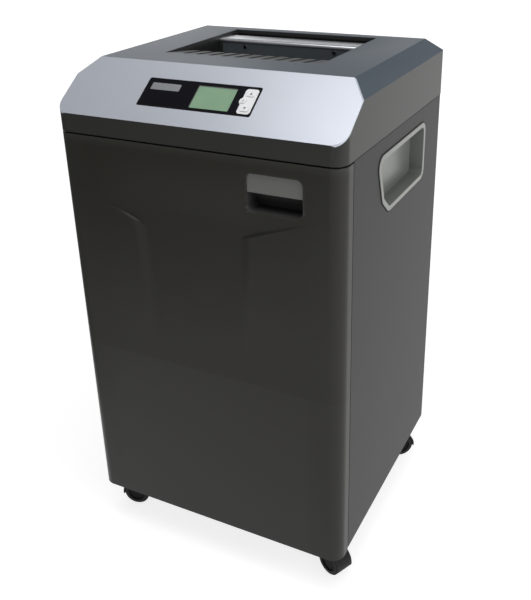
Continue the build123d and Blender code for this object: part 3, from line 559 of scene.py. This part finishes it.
def grown(outline, distance):
    """An anticlockwise convex outline with every point moved outwards."""
    points = []
    for index, point in enumerate(outline):
        before = (point - outline[index - 1]).normalized()
        after = (outline[(index + 1) % len(outline)] - point).normalized()
        outwards = Vector((before.y + after.y, -before.x - after.x)).normalized()
        points.append(point + distance * outwards)
    return points


cup_plastic = moulded_finish(
    "cup_plastic", (0.190, 0.198, 0.182), roughness=0.3, cell=0.0010, strength=0.12, shine=0.6
)
# Black ring around each lip: painted shadow for the gap under the lip.
painted_shadow_ring = moulded_finish(
    "painted_shadow_ring", (0.004, 0.004, 0.004), roughness=0.7, cell=0.0008, strength=0.2, shine=0.1
)
for side_name, side in (("left", -1), ("right", 1)):
    cup = f"handle_cup_{side_name}"
    eased_piece(cup, "cabinet", cup_plastic, radius=0.0012, steps=3)
    panel_low, panel_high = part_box(f"side_panel_{side_name}")
    panel_face = panel_low.x if side < 0 else panel_high.x
    cup_points = [vert.co for vert in nodes[cup].data.vertices]
    lip = [point.yz for point in cup_points if abs(point.x - panel_face) < lip_reach]
    edge = [lip[index] for index in convex_hull_2d(lip)]
    shadow_ring_form = bmesh.new()
    loops = []
    for x in (panel_face - side * ring_sunk, panel_face + side * ring_proud):
        for distance in (ring_beyond, -ring_under):
            loops.append([shadow_ring_form.verts.new((x, *point)) for point in grown(edge, distance)])
    outer_back, inner_back, outer_front, inner_front = loops
    for one, other in (
        (outer_back, outer_front),
        (outer_front, inner_front),
        (inner_front, inner_back),
        (inner_back, outer_back),
    ):
        for index in range(len(edge)):
            shadow_ring_form.faces.new((one[index - 1], one[index], other[index], other[index - 1]))
    bmesh.ops.recalc_face_normals(shadow_ring_form, faces=shadow_ring_form.faces)
    piece_from(shadow_ring_form, f"handle_shadow_ring_{side_name}", "cabinet", painted_shadow_ring)

# ---------------------------------------- waste bin and chute
# The bin is a thin-walled blow-moulded tub with stiffening ribs and a hand slot; the chute above it
# is a black folded sleeve.

bin_plastic = moulded_finish(
    "bin_plastic", (0.045, 0.046, 0.048), roughness=0.55, cell=0.0014, strength=0.35
)
chute_plastic = moulded_finish("chute_plastic", (0.018, 0.018, 0.019), roughness=0.5)
eased_piece("waste_bin", "cabinet", bin_plastic, radius=0.0008)
dress("waste_chute", chute_plastic)

rib_count = 9
rib_proud = 0.0015
bin_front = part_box("waste_bin")[0].y
rib_span = 0.32
rib_top = 0.470
rib_bottom = 0.110
ribs, entry, result = node_group("bin_ribs", (
    ("Count", "NodeSocketInt"),
    ("Start", "NodeSocketVector"),
    ("End", "NodeSocketVector"),
    ("Height", "NodeSocketFloat"),
    ("Radius", "NodeSocketFloat"),
))
rib_row = ribs.nodes.new("GeometryNodeMeshLine")
rib_row.mode = "END_POINTS"
rib = ribs.nodes.new("GeometryNodeMeshCylinder")
rib.inputs["Vertices"].default_value = 16
set_ribs = ribs.nodes.new("GeometryNodeInstanceOnPoints")
ribs.links.new(entry.outputs["Count"], rib_row.inputs["Count"])
ribs.links.new(entry.outputs["Start"], rib_row.inputs["Start Location"])
ribs.links.new(entry.outputs["End"], rib_row.inputs["Offset"])
ribs.links.new(entry.outputs["Height"], rib.inputs["Depth"])
ribs.links.new(entry.outputs["Radius"], rib.inputs["Radius"])
ribs.links.new(rib_row.outputs["Mesh"], set_ribs.inputs["Points"])
ribs.links.new(rib.outputs["Mesh"], set_ribs.inputs["Instance"])
finish_tree(ribs, result, set_ribs.outputs["Instances"], bin_plastic)
rib_middle = (rib_top + rib_bottom) / 2
placed_by_nodes(
    "bin_ribs",
    ribs,
    {
        "Count": rib_count,
        "Start": (-rib_span / 2, bin_front, rib_middle),
        "End": (rib_span / 2, bin_front, rib_middle),
        "Height": rib_top - rib_bottom,
        "Radius": rib_proud,
    },
    "cabinet",
    bin_plastic,
)

# ---------------------------------------- cutting mechanism
# Zinc-coated steel side frames carry two hardened cutter rollers, their stripper combs and a spur
# gear train from the motor. All of it stands on the deck, hidden by the cabinet and the head.

frame_zinc = metal_finish("frame_zinc", (0.50, 0.51, 0.50), roughness=0.42)
turned_steel = metal_finish("turned_steel", (0.58, 0.58, 0.58), roughness=0.28, along=(1, 12, 12))
cutter_steel = metal_finish("cutter_steel", (0.30, 0.30, 0.31), roughness=0.3, along=(1, 8, 8))
motor_iron = moulded_finish(
    "motor_iron", (0.06, 0.06, 0.065), roughness=0.5, cell=0.002, strength=0.5
)
gear_nylon = moulded_finish("gear_nylon", (0.030, 0.030, 0.032), roughness=0.42)
board_resin = moulded_finish(
    "board_resin", (0.02, 0.11, 0.045), roughness=0.35, cell=0.003, strength=0.4, spread=0.25
)
for node in ("side_frame_left", "side_frame_right", "gear_plate"):
    dress(node, frame_zinc)
for node in (
    "tie_rods",
    "shaft_bearings",
    "front_timing_gear",
    "rear_timing_gear",
    "front_drive_gear",
    "layshaft",
    "motor_shaft",
):
    dress(node, turned_steel)
dress("cutter_front", cutter_steel)
dress("cutter_rear", cutter_steel)
dress("stripper_combs", gear_nylon)
dress("layshaft_wheel", gear_nylon)
dress("motor_body", motor_iron)
dress("power_board", board_resin)
dress("control_board", board_resin)

# ---------------------------------------- head
# The housing is moulded in warm grey and sits on a black tray. The top cover, with its bevelled
# rim, is a separate moulding in a cooler blue grey, and the two meet along the foot of the bevel.

housing_plastic = moulded_finish(
    "housing_plastic", (0.020, 0.020, 0.018), roughness=0.36, cell=0.0009, strength=0.2, shine=0.20
)
cover_plastic = moulded_finish(
    "cover_plastic", (0.052, 0.072, 0.096), roughness=0.42, cell=0.0009, strength=0.2, shine=0.24
)
tray_plastic = moulded_finish("tray_plastic", (0.010, 0.010, 0.011), roughness=0.6)
dress("head_tray", tray_plastic)
eased_piece("head_housing", "cabinet", housing_plastic, radius=0.0010)
eased_piece("top_cover", "cabinet", cover_plastic, radius=0.0010)

# ---------------------------------------- feed well
# A short ramp in the cover's colour has ten finger grooves. Behind it a black moulded well narrows
# to the paper slot, with a painted steel plate at its back and a bright anodised bar over that.

# The ramp's colour is painted darker towards its rear edge, beside the well: painted shade.
ramp_painted_shade_y = (-0.056, -0.036)
ramp_plastic, tree, shader = new_finish("ramp_plastic")
place, shade = mottled(tree, shader, (0.050, 0.066, 0.086), spread=0.06, size=20)
ramp_axes = tree.nodes.new("ShaderNodeSeparateXYZ")
rear_shade_fade = tree.nodes.new("ShaderNodeMapRange")
rear_shade_fade.inputs["From Min"].default_value = ramp_painted_shade_y[0]
rear_shade_fade.inputs["From Max"].default_value = ramp_painted_shade_y[1]
rear_painted_shade = tree.nodes.new("ShaderNodeMix")
rear_painted_shade.data_type = "RGBA"
rear_painted_shade.inputs[mix_to].default_value = (0.016, 0.016, 0.017, 1)
wire(tree, place.outputs["Object"], ramp_axes.inputs["Vector"])
wire(tree, ramp_axes.outputs["Y"], rear_shade_fade.inputs["Value"])
wire(tree, rear_shade_fade.outputs["Result"], rear_painted_shade.inputs["Factor"])
wire(tree, shade, rear_painted_shade.inputs[mix_from])
wire(tree, rear_painted_shade.outputs[mix_result], shader.inputs["Base Color"])
textured_skin(tree, shader, place, cell=0.0009, strength=0.2, roughness=0.45, swing=0.06)
shader.inputs["Specular IOR Level"].default_value = 0.25

ramp_low, ramp_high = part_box("feed_ramp")
ramp_drop = 0.0065
ramp_front_thick = 0.009
groove_count = 10
groove_pitch = 0.0216
groove_radius = 0.0046
groove_front = -0.0475
groove_sunk = 0.0018
groove_long = 0.07

ramp_form = bmesh.new()
ramp_outline = (
    (ramp_low.y, ramp_high.z),
    (ramp_high.y, ramp_high.z - ramp_drop),
    (ramp_high.y, ramp_low.z),
    (ramp_low.y, ramp_high.z - ramp_front_thick),
)
left_face = [ramp_form.verts.new((ramp_low.x, y, z)) for y, z in ramp_outline]
right_face = [ramp_form.verts.new((ramp_high.x, y, z)) for y, z in ramp_outline]
ramp_form.faces.new(left_face)
ramp_form.faces.new(reversed(right_face))
for index in range(len(ramp_outline)):
    following = (index + 1) % len(ramp_outline)
    ramp_form.faces.new((
        left_face[following], left_face[index], right_face[index], right_face[following]
    ))
bmesh.ops.recalc_face_normals(ramp_form, faces=ramp_form.faces)
ramp_mesh = bpy.data.meshes.new("ramp_blank")
ramp_form.to_mesh(ramp_mesh)
ramp_form.free()

grooves, entry, result = node_group("ramp_grooves", (
    ("Count", "NodeSocketInt"),
    ("Start", "NodeSocketVector"),
    ("Step", "NodeSocketVector"),
    ("Length", "NodeSocketFloat"),
    ("Radius", "NodeSocketFloat"),
    ("Tilt", "NodeSocketVector"),
))
groove_row = grooves.nodes.new("GeometryNodeMeshLine")
groove_row.mode = "OFFSET"
tool_round = grooves.nodes.new("GeometryNodeMeshCylinder")
tool_round.inputs["Vertices"].default_value = 24
tool_half = grooves.nodes.new("ShaderNodeMath")
tool_half.operation = "MULTIPLY"
tool_half.inputs[1].default_value = 0.5
tool_reach = grooves.nodes.new("ShaderNodeCombineXYZ")
tool_lie = grooves.nodes.new("GeometryNodeTransform")
tool_end = grooves.nodes.new("GeometryNodeMeshUVSphere")
tool_end.inputs["Segments"].default_value = 24
tool_end.inputs["Rings"].default_value = 12
tool_shift = grooves.nodes.new("GeometryNodeTransform")
cut_runs = grooves.nodes.new("GeometryNodeInstanceOnPoints")
cut_ends = grooves.nodes.new("GeometryNodeInstanceOnPoints")
real_runs = grooves.nodes.new("GeometryNodeRealizeInstances")
real_ends = grooves.nodes.new("GeometryNodeRealizeInstances")
mill = grooves.nodes.new("GeometryNodeMeshBoolean")
mill.operation = "DIFFERENCE"
mill.solver = "EXACT"
links = grooves.links
links.new(entry.outputs["Count"], groove_row.inputs["Count"])
links.new(entry.outputs["Start"], groove_row.inputs["Start Location"])
links.new(entry.outputs["Step"], groove_row.inputs["Offset"])
links.new(entry.outputs["Length"], tool_round.inputs["Depth"])
links.new(entry.outputs["Radius"], tool_round.inputs["Radius"])
links.new(entry.outputs["Radius"], tool_end.inputs["Radius"])
links.new(entry.outputs["Length"], tool_half.inputs[0])
links.new(tool_half.outputs["Value"], tool_reach.inputs["Z"])
links.new(tool_round.outputs["Mesh"], tool_lie.inputs["Geometry"])
links.new(tool_reach.outputs["Vector"], tool_lie.inputs["Translation"])
links.new(tool_lie.outputs["Geometry"], tool_shift.inputs["Geometry"])
links.new(entry.outputs["Tilt"], tool_shift.inputs["Rotation"])
links.new(groove_row.outputs["Mesh"], cut_runs.inputs["Points"])
links.new(tool_shift.outputs["Geometry"], cut_runs.inputs["Instance"])
links.new(groove_row.outputs["Mesh"], cut_ends.inputs["Points"])
links.new(tool_end.outputs["Mesh"], cut_ends.inputs["Instance"])
links.new(cut_runs.outputs["Instances"], real_runs.inputs["Geometry"])
links.new(cut_ends.outputs["Instances"], real_ends.inputs["Geometry"])
links.new(entry.outputs["Geometry"], mill.inputs["Mesh 1"])
links.new(real_runs.outputs["Geometry"], mill.inputs["Mesh 2"])
links.new(real_ends.outputs["Geometry"], mill.inputs["Mesh 2"])
finish_tree(grooves, result, mill.outputs["Mesh"], ramp_plastic)
ramp_tilt = math.atan2(ramp_drop, ramp_high.y - ramp_low.y)
groove_surface = ramp_high.z - (groove_front - ramp_low.y) * math.tan(ramp_tilt)
ramp = placed_by_nodes(
    "feed_ramp_piece",
    grooves,
    {
        "Count": groove_count,
        "Start": (
            -groove_pitch * (groove_count - 1) / 2, groove_front, groove_surface + groove_sunk
        ),
        "Step": (groove_pitch, 0, 0),
        "Length": groove_long,
        "Radius": groove_radius,
        "Tilt": (-math.pi / 2 - ramp_tilt, 0, 0),
    },
    "cabinet",
    ramp_plastic,
    ramp_mesh,
)
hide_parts("feed_ramp")

well_plastic = moulded_finish("well_plastic", (0.010, 0.010, 0.011), roughness=0.5)
plate_paint = moulded_finish(
    "plate_paint", (0.075, 0.092, 0.105), roughness=0.42, cell=0.0006, strength=0.1
)
bar_anodised, tree, shader = new_finish("bar_anodised")
shader.inputs["Metallic"].default_value = 1.0
place, shade = mottled(tree, shader, (0.80, 0.82, 0.85), spread=0.05, size=14)
textured_skin(tree, shader, place, cell=0.0020, strength=0.03, roughness=0.30, swing=0.03)
eased_piece("throat_well", "cabinet", well_plastic, radius=0.0006)
eased_piece("throat_plate", "cabinet", plate_paint, radius=0.0004)
bar_low, bar_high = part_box("guide_bar")
bar_round = 0.0044
bar_steps = 10
bar_rear_drop = 0.0012
bar_section = [(bar_high.y, bar_low.z), (bar_high.y, bar_high.z - bar_rear_drop)]
for step in range(bar_steps + 1):
    turn = math.pi / 2 * step / bar_steps
    bar_section.append((
        bar_low.y + bar_round * (1 - math.sin(turn)),
        bar_high.z - bar_round * (1 - math.cos(turn)),
    ))
bar_section.append((bar_low.y, bar_low.z))
guide_bar = bmesh.new()
bar_ends = [
    [guide_bar.verts.new((x, y, z)) for y, z in bar_section] for x in (bar_low.x, bar_high.x)
]
guide_bar.faces.new(bar_ends[0])
guide_bar.faces.new(reversed(bar_ends[1]))
for index in range(len(bar_section)):
    following = (index + 1) % len(bar_section)
    guide_bar.faces.new((
        bar_ends[0][following], bar_ends[0][index], bar_ends[1][index], bar_ends[1][following]
    ))
bmesh.ops.recalc_face_normals(guide_bar, faces=guide_bar.faces)
piece_from(guide_bar, "guide_bar_piece", "cabinet", bar_anodised, ("guide_bar",))

# A thin black lining over the top of the opening's side and rear walls: painted shade on walls that
# lie in shadow.
rim_gap = 0.0001
rim_thick = 0.0005
rim_top = 0.7845
rim_bottom = 0.7790
opening_half = 0.125
opening_front = -0.062
opening_rear = 0.157
opening_shade_lining = bmesh.new()
rim_outer = (
    (-opening_half + rim_gap, opening_front),
    (-opening_half + rim_gap, opening_rear - rim_gap),
    (opening_half - rim_gap, opening_rear - rim_gap),
    (opening_half - rim_gap, opening_front),
)
rim_inner = (
    (-opening_half + rim_gap + rim_thick, opening_front),
    (-opening_half + rim_gap + rim_thick, opening_rear - rim_gap - rim_thick),
    (opening_half - rim_gap - rim_thick, opening_rear - rim_gap - rim_thick),
    (opening_half - rim_gap - rim_thick, opening_front),
)
rim_path = rim_outer + rim_inner[::-1]
rim_levels = [
    [opening_shade_lining.verts.new((x, y, z)) for x, y in rim_path] for z in (rim_bottom, rim_top)
]
for index in range(len(rim_outer) - 1):
    far = len(rim_path) - 1 - index
    below, above = (
        [level[index], level[index + 1], level[far - 1], level[far]] for level in rim_levels
    )
    opening_shade_lining.faces.new(below)
    opening_shade_lining.faces.new(reversed(above))
for index in range(len(rim_path)):
    following = (index + 1) % len(rim_path)
    opening_shade_lining.faces.new((
        rim_levels[0][following],
        rim_levels[0][index],
        rim_levels[1][index],
        rim_levels[1][following],
    ))
bmesh.ops.recalc_face_normals(opening_shade_lining, faces=opening_shade_lining.faces)
piece_from(opening_shade_lining, "opening_shade_lining", "cabinet", well_plastic)

post_wide = 0.006
post_deep = 0.0012
posts = bmesh.new()
plate_low, plate_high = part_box("throat_plate")
for side in (-1, 1):
    middle = Matrix.Translation((
        side * (plate_high.x - post_wide / 2), plate_low.y, (plate_low.z + plate_high.z) / 2
    ))
    stretch = Matrix.Diagonal((post_wide, post_deep, plate_high.z - plate_low.z, 1))
    bmesh.ops.create_cube(posts, size=1, matrix=middle @ stretch)
eased(posts, radius=0.0003)
piece_from(posts, "throat_posts", "cabinet", well_plastic)

blackened_steel = metal_finish("blackened_steel", (0.03, 0.035, 0.04), roughness=0.4)
throat_screw_x = 0.078
throat_screw_z = 0.769
placed_by_nodes(
    "throat_screw_heads",
    screw_tree("throat_screws", (math.pi / 2, 0, 0), blackened_steel),
    screw_sizes,
    "cabinet",
    blackened_steel,
    point_mesh("throat_screw_points", [
        (side * throat_screw_x, plate_low.y, throat_screw_z) for side in (-1, 1)
    ]),
)

# ---------------------------------------- fascia and control panel
# The fascia is a moulding sprayed metallic silver and clipped on the sloping front. A gloss black
# panel is let into it, with the display, a plain badge and the white keypad.

fascia_silver, tree, shader = new_finish("fascia_silver")
shader.inputs["Metallic"].default_value = 0.35
place, shade = mottled(tree, shader, (0.62, 0.655, 0.735), spread=0.03, size=12)
worn_edges(tree, shader, shade, lift=0.08)
textured_skin(tree, shader, place, cell=0.0005, strength=0.08, roughness=0.36, swing=0.05)
eased_piece("front_fascia", "cabinet", fascia_silver, radius=0.0020, steps=4)

panel_gloss, tree, shader = new_finish("panel_gloss")
shader.inputs["Specular IOR Level"].default_value = 0.2
place, shade = mottled(tree, shader, (0.006, 0.006, 0.009), spread=0.2, size=30)
textured_skin(tree, shader, place, cell=0.004, strength=0.03, roughness=0.14, swing=0.04)
eased_piece("control_panel", "cabinet", panel_gloss, radius=0.0003)

lcd_green, tree, shader = new_finish("lcd_green")
place = tree.nodes.new("ShaderNodeTexCoord")
dots = tree.nodes.new("ShaderNodeTexWave")
dots.wave_type = "BANDS"
dots.bands_direction = "X"
dots.inputs["Scale"].default_value = 120
glow = tree.nodes.new("ShaderNodeTexNoise")
glow.inputs["Scale"].default_value = 34
colours = tree.nodes.new("ShaderNodeMix")
colours.data_type = "RGBA"
colours.inputs[mix_from].default_value = (0.125, 0.31, 0.135, 1)
colours.inputs[mix_to].default_value = (0.20, 0.41, 0.215, 1)
lines = tree.nodes.new("ShaderNodeMix")
lines.data_type = "RGBA"
lines.blend_type = "MULTIPLY"
lines.inputs["Factor"].default_value = 0.12
wire(tree, place.outputs["Object"], dots.inputs["Vector"])
wire(tree, place.outputs["Object"], glow.inputs["Vector"])
wire(tree, glow.outputs["Fac"], colours.inputs["Factor"])
wire(tree, colours.outputs[mix_result], lines.inputs[mix_from])
wire(tree, dots.outputs["Color"], lines.inputs[mix_to])
wire(tree, lines.outputs[mix_result], shader.inputs["Base Color"])
wire(tree, lines.outputs[mix_result], shader.inputs["Emission Color"])
shader.inputs["Emission Strength"].default_value = 0.12
shader.inputs["Roughness"].default_value = 0.3
dress("lcd_module", lcd_green)

lcd_glass, tree, shader = new_finish("lcd_glass")
shader.inputs["Base Color"].default_value = (0.86, 0.94, 0.88, 1)
shader.inputs["Roughness"].default_value = 0.08
shader.inputs["Alpha"].default_value = 0.18
place = tree.nodes.new("ShaderNodeTexCoord")
smears = tree.nodes.new("ShaderNodeTexNoise")
smears.inputs["Scale"].default_value = 90
smear_bump = tree.nodes.new("ShaderNodeBump")
smear_bump.inputs["Strength"].default_value = 0.02
wire(tree, place.outputs["Object"], smears.inputs["Vector"])
wire(tree, smears.outputs["Fac"], smear_bump.inputs["Height"])
wire(tree, smear_bump.outputs["Normal"], shader.inputs["Normal"])
dress("lcd_window", lcd_glass)

key_plastic = moulded_finish(
    "key_plastic", (0.95, 0.95, 0.97), roughness=0.4, cell=0.0006, strength=0.1, spread=0.03
)
eased_piece("keypad_bezel", "cabinet", key_plastic, radius=0.0003)
for key in ("key_forward", "key_reverse", "key_power"):
    eased_piece(key, key, key_plastic, radius=0.0002)

slope_low = Vector((0, -0.205, 0.722))
slope_rise = 0.063
slope_run = 0.088
slope_tilt = math.atan2(slope_rise, slope_run)
slope_up = Vector((0, math.cos(slope_tilt), math.sin(slope_tilt)))
slope_out = Vector((0, -math.sin(slope_tilt), math.cos(slope_tilt)))


def slope_prism(form, outline, low, high):
    """Add a flat prism standing on the sloping front, from an outline in (across, up the slope)."""
    rings = []
    for lift in (low, high):
        ring = []
        for x, up in outline:
            corner = slope_low + Vector((x, 0, 0)) + up * slope_up + lift * slope_out
            ring.append(form.verts.new(corner))
        rings.append(ring)
    below, above = rings
    form.faces.new(above)
    form.faces.new(reversed(below))
    for index in range(len(outline)):
        following = (index + 1) % len(outline)
        form.faces.new((below[index], below[following], above[following], above[index]))


def arc(centre, radius, start, end, steps):
    """Points along an arc, angles in degrees."""
    turns = [math.radians(start + (end - start) * i / steps) for i in range(steps + 1)]
    return [(centre[0] + radius * math.cos(t), centre[1] + radius * math.sin(t)) for t in turns]


def rounded(left, right, low, high, radius, steps=6):
    """An upright rectangle with rounded corners, anticlockwise."""
    points = arc((right - radius, high - radius), radius, 0, 90, steps)
    points += arc((left + radius, high - radius), radius, 90, 180, steps)
    points += arc((left + radius, low + radius), radius, 180, 270, steps)
    return points + arc((right - radius, low + radius), radius, 270, 360, steps)


panel_lift = -0.0003
badge_outline = (-0.086, -0.040, 0.0575, 0.0695, 0.0015)
badge_half = 0.0004
badge_metal = metal_finish(
    "badge_metal", (0.62, 0.64, 0.66), roughness=0.3, along=(1, 20, 20), strength=0.1
)
badge = bmesh.new()
slope_prism(badge, rounded(*badge_outline), panel_lift - badge_half, panel_lift + badge_half)
eased(badge, radius=0.0002)
piece_from(badge, "plain_badge", "cabinet", badge_metal)

mark_ink = moulded_finish("mark_ink", (0.16, 0.17, 0.19), roughness=0.5)
mark_low = 0.00155
mark_high = 0.00163
mark_x = 0.069
arrow_half = 0.0021
forward_up = 0.06525
reverse_up = 0.04025
for key, middle, way in (("key_forward", forward_up, 1), ("key_reverse", reverse_up, -1)):
    arrow = bmesh.new()
    corners = [(mark_x, middle + way * arrow_half)]
    corners += [(mark_x - way * arrow_half, middle - way * arrow_half)]
    corners += [(mark_x + way * arrow_half, middle - way * arrow_half)]
    slope_prism(arrow, corners, mark_low, mark_high)
    piece_from(arrow, f"{key}_mark", key, mark_ink)
power_mark = bmesh.new()
power_centre = (0.062, 0.0527)
ring_outer = 0.0017
ring_inner = 0.0012
ring_start = 125
ring_end = 415
ring_steps = 24
outer_arc = arc(power_centre, ring_outer, ring_start, ring_end, ring_steps)
inner_arc = arc(power_centre, ring_inner, ring_end, ring_start, ring_steps)
slope_prism(power_mark, outer_arc + inner_arc, mark_low, mark_high)
stem_half = 0.00025
stem_foot = ring_inner * 0.3
stem_top = ring_outer * 1.15
slope_prism(power_mark, (
    (power_centre[0] - stem_half, power_centre[1] + stem_foot),
    (power_centre[0] + stem_half, power_centre[1] + stem_foot),
    (power_centre[0] + stem_half, power_centre[1] + stem_top),
    (power_centre[0] - stem_half, power_centre[1] + stem_top),
), mark_low, mark_high)
piece_from(power_mark, "key_power_mark", "key_power", mark_ink)

# ---------------------------------------- power entry
# One black moulding in the back panel holds the mains socket with its blades and a rocker switch
# that tilts on its own moulded pins.

entry_plastic = moulded_finish("entry_plastic", (0.014, 0.014, 0.015), roughness=0.36)
eased_piece("power_entry", "cabinet", entry_plastic, radius=0.0004)
eased_piece("rocker", "rocker", entry_plastic, radius=0.0003)

# ---------------------------------------- front door
# One moulding in metallic charcoal wraps both front corners. It is hung on two pins at its left
# edge, held shut by a magnet, and pressed with a shallow relief that runs out towards its foot.

# The door's colour is painted darker towards its foot: painted shade.
painted_shade_foot_z = (0.10, 0.42)
door_paint, tree, shader = new_finish("door_paint")
shader.inputs["Specular IOR Level"].default_value = 0.18
place, shade = mottled(tree, shader, (0.029, 0.028, 0.0232), spread=0.05, size=7)
door_axes = tree.nodes.new("ShaderNodeSeparateXYZ")
foot = tree.nodes.new("ShaderNodeMapRange")
foot.inputs["From Min"].default_value = painted_shade_foot_z[0]
foot.inputs["From Max"].default_value = painted_shade_foot_z[1]
foot_painted_shade = tree.nodes.new("ShaderNodeMix")
foot_painted_shade.data_type = "RGBA"
foot_painted_shade.inputs[mix_from].default_value = (0.0085, 0.0082, 0.0068, 1)
wire(tree, place.outputs["Object"], door_axes.inputs["Vector"])
wire(tree, door_axes.outputs["Z"], foot.inputs["Value"])
wire(tree, foot.outputs["Result"], foot_painted_shade.inputs["Factor"])
wire(tree, shade, foot_painted_shade.inputs[mix_to])
worn_edges(tree, shader, foot_painted_shade.outputs[mix_result], lift=0.02)
textured_skin(tree, shader, place, cell=0.0006, strength=0.12, roughness=0.35, swing=0.04)

relief_deep = 0.0046
relief_top = 0.686
relief_full = 0.588
relief_fade = 0.575
relief_foot = 0.350
relief_side = 0.172
relief_inner = 0.070
left_crease = ((-0.1615, 0.6056), (-0.104, 0.5806))
right_crease = ((0.168, 0.613), (0.084, 0.581))
crease_soft = 0.0015
left_bevel = ((-0.0915, 0.579), (-0.074, 0.430), 0.0105)
right_bevel = ((0.081, 0.581), (0.0725, 0.425), 0.012)
relief_grid = 0.003
grip_low, grip_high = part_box("grip_cup")
door_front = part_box("door_shell")[0].y
door_wall = 0.003
door_wall_reach = 1.01
crease_cuts = (-1, -0.5, 0, 0.5, 1)
grip_margin = 0.004


def step_up(value, low, high):
    """A smooth step from 0 at low to 1 at high."""
    part = min(1.0, max(0.0, (value - low) / (high - low)))
    return part * part * (3 - 2 * part)


def above_line(x, z, line):
    """Height of a point over the line through two points."""
    (x0, z0), (x1, z1) = line
    return z - (z0 + (z1 - z0) * (x - x0) / (x1 - x0))


def relief(x, z):
    """How deep the door's face lies behind its outer plane."""
    scoop = step_up(z, relief_top, relief_full) * step_up(z, relief_foot, relief_fade)
    scoop *= step_up(abs(x), relief_side, relief_inner)
    (x0, z0), (x1, z1), half = left_bevel
    bevel_x = x0 + (x1 - x0) * (z0 - z) / (z0 - z1)
    left = step_up(x, bevel_x + half, bevel_x - half)
    left *= step_up(above_line(x, z, left_crease), crease_soft, -crease_soft)
    (x0, z0), (x1, z1), half = right_bevel
    bevel_x = x0 + (x1 - x0) * (z0 - z) / (z0 - z1)
    right = step_up(x, bevel_x - half, bevel_x + half)
    right *= step_up(above_line(x, z, right_crease), crease_soft, -crease_soft)
    return relief_deep * scoop * (1 - left) * (1 - right)


def clear_of_grip(x, z):
    """0 behind the grip, where the wall's back stays flat for the cup's flange, 1 away from it."""
    beside = max(grip_low.x - x, x - grip_high.x, grip_low.z - z, z - grip_high.z)
    return step_up(beside, 0, grip_margin)


def cut_door(point, normal):
    """Divide every face of the door that a plane passes through."""
    bmesh.ops.bisect_plane(
        door, geom=[*door.verts, *door.edges, *door.faces], plane_co=point, plane_no=normal
    )


door = merged_copy("door_shell")
eased(door, radius=0.0011, sharpness=50)
column = -relief_side
while column <= relief_side:
    cut_door((column, 0, 0), (1, 0, 0))
    column += relief_grid
row = relief_foot
while row <= relief_top:
    cut_door((0, 0, row), (0, 0, 1))
    row += relief_grid
for (x0, z0), (x1, z1) in (left_crease, right_crease):
    for part in crease_cuts:
        cut_door((x0, 0, z0 + part * crease_soft), (z0 - z1, 0, x1 - x0))
for vert in door.verts:
    if vert.co.y < door_front + door_wall * door_wall_reach:
        behind = (vert.co.y - door_front) / door_wall
        held = 1 + behind * (clear_of_grip(vert.co.x, vert.co.z) - 1)
        vert.co.y += relief(vert.co.x, vert.co.z) * held
piece_from(door, "door_panel", "door", door_paint, ("door_shell",))

# ---------------------------------------- door fittings
# A black cup behind the opening takes the fingers under a pale steel plate. Pressed steel brackets
# and pins hang the door, and a steel channel meets the magnet block inside the side panel.

grip_plastic = moulded_finish("grip_plastic", (0.050, 0.050, 0.049), roughness=0.5)
grip_plate_grey = moulded_finish(
    "grip_plate_grey", (0.145, 0.145, 0.14), roughness=0.45, cell=0.0005, strength=0.15
)
eased_piece("grip_cup", "door", grip_plastic, radius=0.0006)
eased_piece("grip_plate", "door", grip_plate_grey, radius=0.0004)
eased_piece("strike_bracket", "door", frame_zinc, radius=0.0002)
dress("hinge_brackets", frame_zinc)
dress("hinge_pins", turned_steel)
dress("magnet_catch", chute_plastic)
